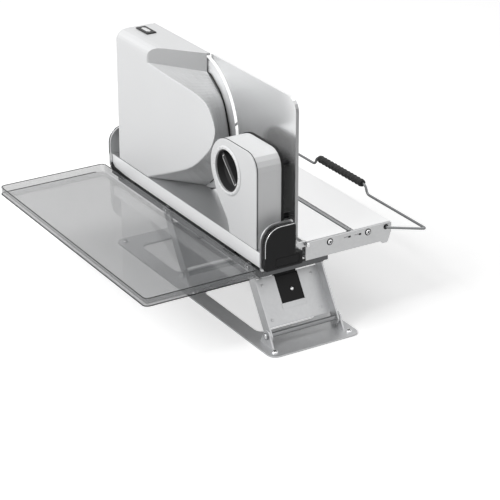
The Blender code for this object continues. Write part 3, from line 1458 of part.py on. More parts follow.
def main():
    clear_scene()
    steel = finish("brushed_steel", (0.78, 0.78, 0.78), 0.32, 1.0)
    sheet = finish("zinc_sheet", (0.66, 0.67, 0.68), 0.38, 1.0)
    white = finish("white_table", (0.86, 0.87, 0.88), 0.35)
    silver = finish("silver_casing", (0.62, 0.63, 0.64), 0.34, 0.35)
    black = finish("black_plastic", (0.03, 0.03, 0.03), 0.42)
    dark = finish("dark_dial", (0.05, 0.05, 0.055), 0.3)
    blade_steel = finish("blade_steel", (0.82, 0.82, 0.83), 0.2, 1.0)
    rubber = finish("rubber", (0.03, 0.03, 0.03), 0.8)
    bronze = finish("bronze", (0.55, 0.40, 0.20), 0.4, 1.0)
    gear = finish("gear_nylon", (0.80, 0.78, 0.70), 0.5)
    clear = finish("clear_plastic", (0.70, 0.72, 0.74), 0.1, 0.0, 0.35)

    upper_front = arm_point(FRONT_PIVOT, ARM_LENGTH, 0)
    upper_rear = arm_point(REAR_PIVOT, ARM_LENGTH, 0)

    make_floor_frame(sheet)
    floor_rod_half = EAR_INNER + SHEET + GAP
    make_pivot_rod("front_floor_rod", steel, FRONT_PIVOT, floor_rod_half)
    make_pivot_rod("rear_floor_rod", steel, REAR_PIVOT, floor_rod_half)

    front_arm = body("front_arm_axis", (0, *FRONT_PIVOT))
    front_bracket = make_swing_bracket("front_swing_bracket", sheet, FRONT_PIVOT)
    cut(front_bracket, latch_window(sheet))
    carry(front_arm, front_bracket)
    latch = body("lift_latch_axis", (LATCH_OFFSET, *arm_point(FRONT_PIVOT, LATCH_START, 0)), front_arm)
    carry(latch, make_lift_latch(black))

    rear_arm = body("rear_arm_axis", (0, *REAR_PIVOT))
    carry(rear_arm, make_swing_bracket("rear_swing_bracket", sheet, REAR_PIVOT))

    platform = body("platform_axis", (0, *upper_front), front_arm)
    upper_rod_half = ARM_HALF_WIDTH + GAP
    pads = (DECK_FRONT + PAD_INSET, DECK_REAR - PAD_INSET - PAD_LENGTH)
    carry(
        platform,
        make_pivot_rod("front_upper_rod", steel, upper_front, upper_rod_half),
        make_pivot_rod("rear_upper_rod", steel, upper_rear, upper_rod_half),
        make_carrier_bar("left_carrier_bar", sheet, -1),
        make_carrier_bar("right_carrier_bar", sheet, 1),
        make_cross_member("front_cross_member", sheet, False),
        make_cross_member("rear_cross_member", sheet, True),
        make_rest_pad("front_rest_pad", rubber, pads[0]),
        make_rest_pad("rear_rest_pad", rubber, pads[1]),
        make_table_plate(white),
        make_end_rail("front_rail", sheet, False),
        make_end_rail("rear_rail", sheet, True),
        make_guide_rail(steel),
        tip_pin("front_tip_pin", steel, False),
        tip_pin("rear_tip_pin", steel, True),
    )

    carriage = body("carriage_axis", (CARRIAGE_LEFT, DECK_FRONT, DECK_HEIGHT), platform)
    carry(carriage, make_carriage(white))

    bail = body("bail_axis", (BAIL_X, DECK_FRONT, BAIL_Z), platform)
    bail_wire = wire("bail_wire", steel, bent(bail_corners(), BAIL_BEND), WIRE_RADIUS)
    carry(bail, bail_wire, make_bail_grip(rubber))

    slicer = body("slicer_tip_axis", (TIP_PIVOT[0], DECK_FRONT, TIP_PIVOT[1]), platform)
    front_cap = cut(make_end_cap("front_end_cap", black, False), make_switch_recess(black))
    hooks = (DECK_FRONT + HOOK_FRONT_INSET, DECK_REAR - HOOK_REAR_INSET - HOOK_LENGTH)
    carry(
        slicer,
        make_base_plate(steel),
        make_end_plate("front_end_plate", steel, False),
        make_end_plate("rear_end_plate", steel, True),
        front_cap,
        make_end_cap("rear_end_cap", black, True),
        make_switch_spring(steel),
        make_tray_hook("front_tray_hook", black, hooks[0]),
        make_tray_hook("rear_tray_hook", black, hooks[1]),
        make_motor_housing(silver),
        make_side_plate(black),
        make_top_insert(black),
        make_motor(sheet),
        make_motor_cradle(black),
        make_gear_bracket(sheet),
        make_axle_bush(bronze),
        make_box_body(silver),
        make_box_lid(silver),
        make_box_back(black),
        make_dial_collar(silver),
        make_cord_gland(black),
    )

    blade = body("blade_axis", (BLADE_PLANE, BLADE_Y, BLADE_Z), slicer)
    carry(blade, make_blade(blade_steel), make_axle(steel), make_worm_wheel(gear), make_blade_hub(steel))

    rotor = body("motor_axis", (DRIVE_X, MOTOR_FRONT, WORM_Z), slicer)
    carry(rotor, make_worm_shaft(steel))

    stop = body("stop_plate_axis", (PLATE_X, *DIAL), slicer)
    rods = zip(("lower_guide_rod", "upper_guide_rod"), guide_rod_places())
    carry(stop, make_stop_plate(steel), make_adjuster_sleeve(steel))
    carry(stop, *(make_guide_rod(name, steel, place) for name, place in rods))

    dial = body("thickness_knob_axis", (BASE_LEFT, *DIAL), slicer)
    carry(dial, make_thickness_knob(dark), make_knob_spindle(steel))

    switch = body("switch_axis", (BASE_LEFT, cap_face(), DECK_HEIGHT), slicer)
    carry(switch, make_switch_button(black))

    tray = body("catch_tray_axis", (BASE_LEFT, DECK_FRONT, BASE_BOTTOM), slicer)
    carry(tray, make_catch_tray(clear))


main()
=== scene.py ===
"""Finishes, small fittings, light and camera for the built-in food slicer, on its solids."""

from math import atan2, cos, pi, radians, sin

import bmesh
import bpy
from mathutils import Matrix, Vector


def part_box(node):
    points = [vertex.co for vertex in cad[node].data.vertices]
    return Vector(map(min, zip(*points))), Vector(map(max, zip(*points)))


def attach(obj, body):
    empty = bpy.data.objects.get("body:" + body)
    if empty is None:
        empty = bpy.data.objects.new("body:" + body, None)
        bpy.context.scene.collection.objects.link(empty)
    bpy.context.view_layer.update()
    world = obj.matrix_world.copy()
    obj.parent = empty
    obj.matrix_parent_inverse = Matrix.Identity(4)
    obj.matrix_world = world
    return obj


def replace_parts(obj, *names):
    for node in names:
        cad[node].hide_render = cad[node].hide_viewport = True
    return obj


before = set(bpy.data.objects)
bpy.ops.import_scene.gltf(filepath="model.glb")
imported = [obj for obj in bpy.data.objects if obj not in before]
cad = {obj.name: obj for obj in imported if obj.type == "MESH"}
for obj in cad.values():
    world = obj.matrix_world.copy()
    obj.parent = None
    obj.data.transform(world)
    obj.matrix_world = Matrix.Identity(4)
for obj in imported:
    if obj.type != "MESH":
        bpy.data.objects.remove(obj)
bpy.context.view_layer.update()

MM = 0.001
MERGE_DISTANCE = 0.002 * MM
TURNED_SHARP = radians(35)
SLAB_SHARP = radians(40)
ACROSS, AWAY, UP = Vector((1, 0, 0)), Vector((0, 1, 0)), Vector((0, 0, 1))
# Sockets of a Mix node by number, since their names repeat
PLAIN_A, PLAIN_B, COLOUR_A, COLOUR_B, COLOUR_OUT = 2, 3, 6, 7, 2


class Value:
    """A shader socket; Python's operators on it add Math nodes."""

    def __init__(self, nodes, socket):
        self.nodes = nodes
        self.socket = socket

    def __add__(self, other):
        return self.nodes.maths("ADD", self, other)

    def __sub__(self, other):
        return self.nodes.maths("SUBTRACT", self, other)

    def __mul__(self, other):
        return self.nodes.maths("MULTIPLY", self, other)

    def __pow__(self, other):
        return self.nodes.maths("POWER", self, other)

    def __rsub__(self, other):
        return self.nodes.maths("SUBTRACT", other, self)

    __radd__ = __add__
    __rmul__ = __mul__


class Nodes:
    """A node tree whose nodes all come from one method."""

    def __init__(self, tree):
        self.tree = tree

    def feed(self, socket, value):
        if isinstance(value, Value):
            self.tree.links.new(value.socket, socket)
        else:
            socket.default_value = value

    def node(self, kind, settings=None, values=None, output=0):
        """Adds a node: its settings first, then the values or links of its sockets."""
        made = self.tree.nodes.new(kind)
        for name, setting in (settings or {}).items():
            if name == "stops":
                self.set_stops(made.color_ramp, setting)
            else:
                setattr(made, name, setting)
        for key, value in (values or {}).items():
            self.feed(made.inputs[key], value)
        return Value(self, made.outputs[output])

    def set_stops(self, ramp, stops):
        while len(ramp.elements) < len(stops):
            ramp.elements.new(1.0)
        for element, (position, shade) in zip(ramp.elements, stops):
            element.position = position
            element.color = (shade, shade, shade, 1.0)

    def maths(self, operation, *terms):
        return self.node("ShaderNodeMath", {"operation": operation}, dict(enumerate(terms)))


class Look(Nodes):
    """A material whose shader is built from expressions on its sockets."""

    def __init__(self, name, roughness=0.5, metallic=0.0, colour=(0.8, 0.8, 0.8)):
        self.material = bpy.data.materials.new(name)
        self.material.use_nodes = True
        super().__init__(self.material.node_tree)
        self.shader = self.tree.nodes["Principled BSDF"]
        self.give(Roughness=roughness, Metallic=metallic, Base_Color=(*colour, 1.0))

    def give(self, **values):
        """Sets or links sockets of the main shader by name."""
        for name, value in values.items():
            self.feed(self.shader.inputs[name.replace("_", " ")], value)

    def place(self):
        """The point in the object's own frame, in metres."""
        return self.node("ShaderNodeTexCoord", output="Object")

    def axis(self, name, vector):
        return self.node("ShaderNodeSeparateXYZ", None, {0: vector}, output=name)

    def noise(self, scale, stretch=(1, 1, 1), detail=2, roughness=0.5):
        sides = {0: self.place(), 1: stretch}
        where = self.node("ShaderNodeVectorMath", {"operation": "MULTIPLY"}, sides)
        values = {"Vector": where, "Scale": scale, "Detail": detail, "Roughness": roughness}
        return self.node("ShaderNodeTexNoise", None, values)

    def ramp(self, value, *stops):
        return self.node("ShaderNodeValToRGB", {"stops": stops}, {0: value})

    def mix(self, share, first, second):
        """A colour between two, each a value or a plain red, green and blue."""
        first, second = (
            end if isinstance(end, Value) else (*end, 1.0) for end in (first, second)
        )
        values = {0: share, COLOUR_A: first, COLOUR_B: second}
        return self.node("ShaderNodeMix", {"data_type": "RGBA"}, values, COLOUR_OUT)

    def forward(self, start, full):
        """A mask of the faces that look to the front, by the normal in the object's frame."""
        away = self.axis("Y", self.node("ShaderNodeTexCoord", output="Normal"))
        return self.ramp(away * -1.0, (start, 0.0), (full, 1.0))

    def bump(self, height, distance, strength):
        values = {"Height": height, "Distance": distance, "Strength": strength}
        self.give(Normal=self.node("ShaderNodeBump", None, values))


GRAIN = {"Y": (1, 0.02, 1), "Z": (1, 1, 0.02)}


def brushed(name, grain, dark, light, roughness):
    """Brushed metal, its scratches along one axis."""
    look = Look(name, metallic=1.0)
    fine = look.noise(2600, GRAIN[grain], detail=3, roughness=0.7)
    broad = look.noise(420, GRAIN[grain])
    cloud = look.noise(14)
    streak = fine * 0.6 + broad * 0.4
    look.give(Base_Color=look.mix(streak * 0.7 + cloud * 0.3, dark, light))
    look.give(Roughness=streak * 0.16 + cloud * 0.06 + (roughness - 0.11))
    look.bump(streak, 0.00002, 0.35)
    return look.material


def satin(name, grain, dark, light, roughness, metallic, front_face_shade=0.0):
    """Metal smooth enough for blurred reflections; its last argument darkens its faces to the
    front with painted shade.
    """
    look = Look(name, metallic=metallic)
    fine = look.noise(3000, GRAIN[grain])
    cloud = look.noise(10)
    shade = look.mix(fine * 0.3 + cloud * 0.7, dark, light)
    if front_face_shade:
        # Painted shade: faces turned to the front are darkened towards a dark grey.
        shade = look.mix(look.forward(0.55, 0.9) * front_face_shade, shade, (0.3, 0.303, 0.307))
    look.give(Base_Color=shade)
    look.give(Roughness=fine * 0.05 + cloud * 0.04 + (roughness - 0.045))
    look.bump(fine, 0.000002, 0.1)
    return look.material


def zinc(name, dark, light, roughness, metallic):
    """Plated sheet with faint rolling marks and cloudy patches."""
    look = Look(name, metallic=metallic)
    cloud = look.noise(30, detail=4, roughness=0.6)
    grain = look.noise(1500, (1, 0.15, 1))
    spot = look.noise(260, detail=3)
    look.give(Base_Color=look.mix(cloud * 0.6 + spot * 0.4, dark, light))
    look.give(Roughness=cloud * 0.14 + grain * 0.08 + (roughness - 0.11))
    look.bump(grain * 0.7 + spot * 0.3, 0.00003, 0.3)
    return look.material


def silver_paint(name, front_shade=0.0):
    """Satin silver over metal flakes; its second argument darkens its forward faces with painted
    shade.
    """
    look = Look(name, metallic=0.2)
    flake = look.noise(5200, detail=1)
    peel = look.noise(900)
    cloud = look.noise(9)
    glint = look.ramp(flake, (0.52, 0.0), (0.66, 1.0))
    shade = look.mix(cloud, (0.65, 0.655, 0.66), (0.70, 0.705, 0.71))
    if front_shade:
        # Painted shade: forward faces darkened towards a dark grey, as far as the second argument
        # asks.
        shade = look.mix(look.forward(0.0, 0.6) * front_shade, shade, (0.2, 0.2025, 0.205))
    look.give(Base_Color=look.mix(glint * 0.3, shade, (0.8, 0.805, 0.81)))
    look.give(Roughness=peel * 0.08 + cloud * 0.05 + 0.38)
    look.give(Coat_Weight=0.06, Coat_Roughness=0.3)
    look.bump(peel, 0.00002, 0.25)
    return look.material


def table_finish(name):
    """Pale satin metal, its grain along the carriage's travel."""
    look = Look(name, metallic=0.7)
    fine = look.noise(2200, GRAIN["Y"])
    cloud = look.noise(7, (1, 0.4, 1))
    worn = look.noise(60, (1, 0.2, 1), detail=4)
    shade = cloud * 0.5 + fine * 0.3 + worn * 0.2
    look.give(Base_Color=look.mix(shade, (0.92, 0.922, 0.925), (0.975, 0.977, 0.98)))
    look.give(Roughness=fine * 0.1 + cloud * 0.08 + 0.28)
    look.bump(fine, 0.00001, 0.2)
    return look.material


def moulded(name, shade, roughness, grain=0.00003):
    """Moulded plastic with a fine spark-eroded grain."""
    look = Look(name)
    look.give(Specular_IOR_Level=0.22)
    fine = look.noise(3800)
    cloud = look.noise(25, detail=3)
    low = [part * 0.8 for part in shade]
    high = [part * 1.25 + 0.004 for part in shade]
    look.give(Base_Color=look.mix(cloud * 0.6 + fine * 0.4, low, high))
    look.give(Roughness=fine * 0.12 + cloud * 0.1 + (roughness - 0.11))
    look.bump(fine, grain, 0.5)
    return look.material


GRINDING_RINGS = 9000
BEVEL_START, BEVEL_FULL = 0.0782, 0.080


def ground_blade(name, centre):
    """Polished steel with rings from grinding, which fade out on the bevel at its edge."""
    look = Look(name, metallic=0.6)
    place = look.place()
    across = look.axis("Y", place) - centre.y
    up = look.axis("Z", place) - centre.z
    reach = (across * across + up * up) ** 0.5
    ring = look.maths("SINE", reach * GRINDING_RINGS) * 0.5 + 0.5
    blur = look.noise(700, detail=3)
    edge = look.ramp(reach * 10, (BEVEL_START * 10, 0.0), (BEVEL_FULL * 10, 1.0))
    shade = ring * 0.3 + blur * 0.7
    look.give(Base_Color=look.mix(shade, (0.82, 0.825, 0.83), (0.90, 0.905, 0.91)))
    look.give(Roughness=blur * 0.1 + ring * 0.05 + edge * 0.08 + 0.26)
    look.bump(ring * (1 - edge) + blur * 0.3, 0.00001, 0.25)
    return look.material


def rubber_look(name, shade, relief):
    """Matt rubber or foam with dust in its skin."""
    look = Look(name)
    fine = look.noise(1800, detail=3)
    dust = look.noise(45, detail=3)
    low, high = (shade * 0.7,) * 3, (shade * 1.9,) * 3
    look.give(Base_Color=look.mix(fine * 0.5 + dust * 0.5, low, high))
    look.give(Roughness=fine * 0.15 + dust * 0.1 + 0.6)
    look.bump(fine, relief, 0.5)
    return look.material


def clear_look(name):
    """Smoke-clear plastic, denser where it is seen edge on."""
    look = Look(name, colour=(0.16, 0.165, 0.17))
    rim = look.node("ShaderNodeLayerWeight", None, {"Blend": 0.4}, output="Facing")
    haze = look.noise(16)
    scuff = look.noise(300, (1, 0.08, 1), detail=3)
    look.give(Alpha=rim * 0.42 + haze * 0.05 + 0.24)
    look.give(Base_Color=look.mix(haze, (0.13, 0.135, 0.14), (0.19, 0.195, 0.2)))
    look.give(Roughness=look.ramp(scuff, (0.5, 0.05), (0.75, 0.11)))
    look.give(Coat_Weight=0.6, Coat_Roughness=0.03)
    look.material.blend_method = "BLEND"
    return look.material


def turned_metal(name, dark, light, roughness):
    """Plain drawn or turned metal."""
    look = Look(name, metallic=1.0)
    fine = look.noise(1900, detail=3)
    look.give(Base_Color=look.mix(fine, dark, light))
    look.give(Roughness=fine * 0.14 + (roughness - 0.07))
    look.bump(fine, 0.00001, 0.3)
    return look.material


def box_of(node):
    """The low corner, high corner and middle of a solid's box."""
    low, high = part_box(node)
    return low, high, (low + high) / 2


def face_of(node, axis, way):
    """Where a solid's box ends along an axis, at its low or high side."""
    low, high, _ = box_of(node)
    return getattr(high if way > 0 else low, axis)


looks = {
    "deck": brushed("steel_deck", "Y", (0.6, 0.605, 0.61), (0.78, 0.785, 0.79), 0.36),
    # The stop plate's faces to the front carry painted shade.
    "upright": satin(
        "steel_upright", "Y", (0.92, 0.925, 0.93), (0.965, 0.97, 0.975), 0.22, 0.76, front_face_shade=0.78
    ),
    "wire": turned_metal("steel_wire", (0.16, 0.165, 0.17), (0.3, 0.305, 0.31), 0.34),
    "rod": turned_metal("steel_rod", (0.22, 0.225, 0.23), (0.36, 0.365, 0.37), 0.32),
    "oxide": turned_metal("black_steel", (0.012, 0.012, 0.013), (0.03, 0.03, 0.032), 0.42),
    # Painted shade for the tray's edges.
    "tray_edge_shade": moulded("tray_edge_shade", (0.006, 0.0062, 0.0065), 0.5, 0.000005),
    "bright": turned_metal("bright_steel", (0.8, 0.805, 0.81), (0.93, 0.935, 0.94), 0.2),
    "zinc": zinc("zinc_sheet", (0.54, 0.545, 0.555), (0.72, 0.725, 0.73), 0.42, 0.85),
    # Painted shade: a dark sheet for parts that sit in the shade under the deck.
    "shade": zinc("sheet_painted_shade", (0.10, 0.102, 0.105), (0.17, 0.172, 0.176), 0.45, 0.7),
    "rail": zinc("rail_sheet", (0.62, 0.625, 0.63), (0.82, 0.825, 0.83), 0.4, 0.7),
    "silver": silver_paint("silver_casing"),
    # The housing's forward faces carry painted shade.
    "casing": silver_paint("casing_painted_shade", 0.56),
    "cover": satin("cover_plate", "Z", (0.7, 0.705, 0.71), (0.8, 0.805, 0.81), 0.42, 0.7),
    # Painted light for the base's left side.
    "strip": satin("pale_painted_light", "Y", (0.86, 0.865, 0.87), (0.93, 0.935, 0.94), 0.4, 0.3),
    "ring": moulded("pale_ring", (0.68, 0.685, 0.69), 0.32, 0.00001),
    "table": table_finish("satin_aluminium"),
    "black": moulded("black_plastic", (0.0065, 0.0065, 0.007), 0.36),
    "soft_black": moulded("matt_black_plastic", (0.009, 0.009, 0.0095), 0.6, 0.00006),
    "dial": moulded("dark_dial", (0.034, 0.034, 0.035), 0.3, 0.00001),
    "blade": ground_blade("blade_steel", box_of("blade")[2]),
    "rubber": rubber_look("rubber", 0.028, 0.00012),
    "foam": rubber_look("grip_foam", 0.014, 0.0002),
    "bronze": turned_metal("bronze", (0.45, 0.32, 0.15), (0.62, 0.46, 0.25), 0.4),
    "nylon": moulded("gear_nylon", (0.7, 0.68, 0.6), 0.5),
    "clear": clear_look("clear_plastic"),
}

WEARS = {
    "deck": "base_plate front_end_plate rear_end_plate",
    "upright": "stop_plate",
    "wire": "bail_wire",
    "rod": "front_floor_rod rear_floor_rod front_upper_rod rear_upper_rod front_tip_pin "
    "rear_tip_pin switch_spring blade_axle worm_shaft knob_spindle carriage_guide_rail",
    # Painted shade: the guide rods are black so that the stop plate shows them dark.
    "oxide": "adjuster_sleeve lower_guide_rod upper_guide_rod",
    "bright": "blade_hub",
    "zinc": "floor_frame front_swing_bracket rear_swing_bracket motor_can gear_bracket",
    # The cross members and carrier bars are dark as painted shade under the deck.
    "shade": "front_cross_member rear_cross_member left_carrier_bar right_carrier_bar",
    "rail": "front_rail rear_rail",
    "silver": "knob_box_body knob_box_lid",
    "casing": "motor_housing",
    "cover": "housing_side_plate",
    "ring": "dial_collar",
    "table": "table_plate carriage_plate",
    "black": "front_end_cap rear_end_cap front_tray_hook rear_tray_hook top_insert "
    "motor_cradle cord_gland switch_button lift_latch",
    "soft_black": "knob_box_back",
    "dial": "thickness_knob",
    "blade": "blade",
    "rubber": "front_rest_pad rear_rest_pad",
    "foam": "bail_grip",
    "bronze": "axle_bush",
    "nylon": "worm_wheel",
    "clear": "catch_tray",
}


def wear(obj, material):
    if not obj.material_slots:
        obj.data.materials.append(material)
    for slot in obj.material_slots:
        slot.link = "OBJECT"
        slot.material = material


for look_name, members in WEARS.items():
    for member in members.split():
        wear(cad[member], looks[look_name])


def linked(name, data):
    made = bpy.data.objects.new(name, data)
    bpy.context.scene.collection.objects.link(made)
    return made


def new_piece(name, mesh, look_name, body):
    """A piece of this scene, which rides on a body."""
    made = linked(name, mesh)
    wear(made, looks[look_name])
    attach(made, body)
    return made


def settled(name, bm):
    """The mesh of a bmesh, which is freed."""
    mesh = bpy.data.meshes.new(name)
    bm.to_mesh(mesh)
    bm.free()
    return mesh


def applied(obj):
    """An object's mesh with its modifiers or its bevel worked out."""
    bpy.context.view_layer.update()
    graph = bpy.context.evaluated_depsgraph_get()
    return bpy.data.meshes.new_from_object(obj.evaluated_get(graph))


def smoothed(mesh, sharp=None):
    """Smooth shading, with the edges over an angle kept sharp."""
    for polygon in mesh.polygons:
        polygon.use_smooth = True
    if sharp:
        mesh.set_sharp_from_angle(angle=sharp)
    return mesh


def spun(name, profile, steps=28):
    """A mesh from (radius, height) turned about Z."""
    bm = bmesh.new()
    points = [bm.verts.new((radius, 0, height)) for radius, height in profile]
    edges = [bm.edges.new(pair) for pair in zip(points, points[1:])]
    turn = {"cent": (0, 0, 0), "axis": (0, 0, 1), "angle": 2 * pi, "steps": steps}
    bmesh.ops.spin(bm, geom=points + edges, use_merge=True, **turn)
    bmesh.ops.remove_doubles(bm, verts=bm.verts, dist=MERGE_DISTANCE)
    bmesh.ops.recalc_face_normals(bm, faces=bm.faces)
    return settled(name, bm)


def aimed(mesh, place, facing, twist=0.0):
    """Moves a mesh made about Z to a place, twisted about its axis and turned to a direction."""
    turned = Vector(facing).to_track_quat("Z", "Y").to_matrix().to_4x4()
    twisted = Matrix.Rotation(twist, 4, "Z")
    mesh.transform(Matrix.Translation(Vector(place)) @ turned @ twisted)
    return smoothed(mesh, TURNED_SHARP)


def thickened(outline, along):
    """A bmesh of an outline's points, thickened along a vector."""
    bm = bmesh.new()
    face = bm.faces.new([bm.verts.new(point) for point in outline])
    grown = bmesh.ops.extrude_face_region(bm, geom=[face])["geom"]
    moved = [item for item in grown if isinstance(item, bmesh.types.BMVert)]
    bmesh.ops.translate(bm, verts=moved, vec=along)
    bmesh.ops.recalc_face_normals(bm, faces=bm.faces)
    return bm


def dome(radius, height, flat, steps=5):
    """Profile points that round a radius over to its top, keeping a flat share of each."""
    points = []
    for step in range(1, steps + 1):
        angle = pi / 2 * step / steps
        points.append((
            radius * (flat[0] + (1 - flat[0]) * cos(angle)),
            height * (flat[1] + (1 - flat[1]) * sin(angle)),
        ))
    return points


# Pan-head screws: shares of the radius, then shares of the head's height
PAN_HEIGHT, PAN_FLAT, RECESS_WIDTH, RECESS_REACH, SHADED_REACH = 0.55, 0.35, 0.34, 0.68, 0.66
PAN_SUNK, PAN_SIDE, RECESS_TOP, RECESS_DEPTH, SHADED_BELOW = 0.2, 0.35, 1.2, 0.8, 0.6
RECESS_TWIST, WALL_TILT = 0.5, 0.1


def cross_outline(width, reach, height):
    """A plus sign of twelve corners."""
    half = width / 2
    corners = (
        (half, reach), (half, half), (reach, half), (reach, -half), (half, -half), (half, -reach),
        (-half, -reach), (-half, -half), (-reach, -half), (-reach, half), (-half, half),
        (-half, reach),
    )
    return [(x, y, height) for x, y in corners]


def pan_screw(name, place, facing, body, radius, look_name):
    """A pan-head screw whose cross recess is painted dark as shade, its head standing out along a
    direction.
    """
    high = radius * PAN_HEIGHT
    profile = [(0, -high * PAN_SUNK), (radius, -high * PAN_SUNK), (radius, high * PAN_SIDE)]
    profile += dome(radius, high, (PAN_FLAT, PAN_SIDE)) + [(0, high)]
    head = new_piece(name, spun(name, profile), look_name, body)
    cross = cross_outline(radius * RECESS_WIDTH, radius * RECESS_REACH, high * RECESS_TOP)
    recess = settled(name + "_recess", thickened(cross, (0, 0, -high * RECESS_DEPTH)))
    cutter = linked(name + "_recess", recess)
    modifier = head.modifiers.new("recess", "BOOLEAN")
    modifier.operation = "DIFFERENCE"
    modifier.object = cutter
    carved = applied(head)
    head.modifiers.remove(modifier)
    head.data = carved
    # The recess's deep faces take black oxide: painted shade in the recess.
    carved.materials.append(looks["oxide"])
    for polygon in carved.polygons:
        across = (polygon.center.x ** 2 + polygon.center.y ** 2) ** 0.5
        sunk = polygon.center.z < high * SHADED_BELOW or abs(polygon.normal.z) < WALL_TILT
        polygon.material_index = int(across < radius * SHADED_REACH and sunk)
    bpy.data.objects.remove(cutter)
    aimed(carved, place, facing, RECESS_TWIST)


def washer(name, place, facing, body, outer, inner, thickness, look_name):
    """A thin ring with a rounded rim."""
    rim = thickness * 0.4
    profile = [
        (inner, 0), (outer - rim, 0), (outer, rim), (outer, thickness - rim),
        (outer - rim, thickness), (inner, thickness), (inner, 0),
    ]
    new_piece(name, aimed(spun(name, profile), place, facing), look_name, body)


def stud(name, place, facing, body, radius, height, look_name):
    """A round pin end with a domed top."""
    profile = [(0, -height), (radius, -height), (radius, height * 0.3)]
    profile += dome(radius, height, (0, 0.3))
    new_piece(name, aimed(spun(name, profile), place, facing), look_name, body)


def tube(name, points, radius, look_name, body, closed=False):
    """A round wire or bead through points."""
    curve = bpy.data.curves.new(name, "CURVE")
    curve.dimensions = "3D"
    curve.bevel_depth = radius
    curve.bevel_resolution = 2
    curve.use_fill_caps = True
    spline = curve.splines.new("POLY")
    spline.points.add(len(points) - 1)
    for knot, point in zip(spline.points, points):
        knot.co = (*point, 1.0)
    spline.use_cyclic_u = closed
    holder = linked(name, curve)
    mesh = applied(holder)
    bpy.data.objects.remove(holder)
    new_piece(name, smoothed(mesh), look_name, body)


def slab(name, outline, along, look_name, body, edge):
    """A plate with softened edges: an outline of points, thickened along a vector."""
    bm = thickened(outline, along)
    bevel = {"offset": edge, "segments": 2, "affect": "EDGES", "profile": 0.6}
    bmesh.ops.bevel(bm, geom=bm.edges[:], **bevel)
    new_piece(name, smoothed(settled(name, bm), SLAB_SHARP), look_name, body)


def pill(middle, long_way, short_way, length, width, steps=6):
    """The outline of a slot with round ends around a middle, in the plane of two directions."""
    points = []
    for end, start in ((1, -pi / 2), (-1, pi / 2)):
        for step in range(steps + 1):
            angle = start + pi * step / steps
            along = end * (length - width) / 2 + cos(angle) * width / 2
            points.append(middle + long_way * along + short_way * (sin(angle) * width / 2))
    return points


def section_loops(node, axis, level):
    """The closed outlines in which a plane across an axis cuts a solid, the longest first."""
    bm = bmesh.new()
    bm.from_mesh(cad[node].data)
    bm.transform(cad[node].matrix_world)
    bmesh.ops.remove_doubles(bm, verts=bm.verts, dist=MERGE_DISTANCE)
    normal = Vector([float(letter == axis) for letter in "XYZ"])
    everything = bm.verts[:] + bm.edges[:] + bm.faces[:]
    found = bmesh.ops.bisect_plane(
        bm, geom=everything, plane_co=normal * level, plane_no=normal
    )
    after = {}
    for edge in [item for item in found["geom_cut"] if isinstance(item, bmesh.types.BMEdge)]:
        for here, there in (edge.verts, reversed(edge.verts)):
            after.setdefault(here, []).append(there)
    left = set(after)
    loops = []
    while left:
        here = min(left, key=lambda vert: tuple(vert.co))
        left.discard(here)
        loop = [here.co.copy()]
        onward = [vert for vert in after[here] if vert in left]
        while onward:
            here = onward[0]
            left.discard(here)
            loop.append(here.co.copy())
            onward = [vert for vert in after[here] if vert in left]
        loops.append(loop)
    bm.free()
    return sorted(loops, key=len, reverse=True)


ENDS = (("front", -1), ("rear", 1))
deck_height = box_of("base_plate")[1].z

# Fittings of the end rails
RAIL_SCREWS = (45.8 * MM, 98.3 * MM)
RAIL_SLOT_SHADES = (72.6 * MM, 87.1 * MM)
BAIL_HOLE_X, BAIL_HOLE_Z = 123.4 * MM, 102.7 * MM
RAIL_DROP = 6.2 * MM
rail_line = deck_height - RAIL_DROP
for end, way in ENDS:
    facing = (0, way, 0)
    edge = face_of(f"{end}_rail", "y", way)
    for index, across in enumerate(RAIL_SCREWS):
        place = (across, edge, rail_line)
        pan_screw(f"{end}_rail_screw_{index}", place, facing, "platform", 3.1 * MM, "bright")
        ring = (4.2 * MM, 3.1 * MM, 0.3 * MM, "oxide")
        washer(f"{end}_screw_ring_{index}", place, facing, "platform", *ring)
    # A dark ring round the bail's hole: painted shade of the hole.
    hole_ring = (3.2 * MM, 2.15 * MM, 0.5 * MM, "oxide")
    washer(f"{end}_bail_hole_shade", (BAIL_HOLE_X, edge, BAIL_HOLE_Z), facing, "platform", *hole_ring)
    # Dark pills in the rail's slots: painted shade of the slots.
    for index, across in enumerate(RAIL_SLOT_SHADES):
        outline = pill(Vector((across, edge, rail_line)), ACROSS, UP, 3.6 * MM, 2.1 * MM)
        name = f"{end}_slot_shade_{index}"
        slab(name, outline, (0, way * 0.35 * MM, 0), "oxide", "platform", 0.08 * MM)

# Knob box: a dark bead in the seam under its lid, painted shade of the gap
box_left = box_of("knob_box_body")[0].x
seam_level = (box_of("knob_box_lid")[1].x + box_left) / 2
seam = section_loops("knob_box_body", "X", box_left + 2.5 * MM)[0]
seam_path = [Vector((seam_level, point.y, point.z)) for point in seam]
tube("lid_gap_shade", seam_path, 0.42 * MM, "oxide", "slicer", closed=True)

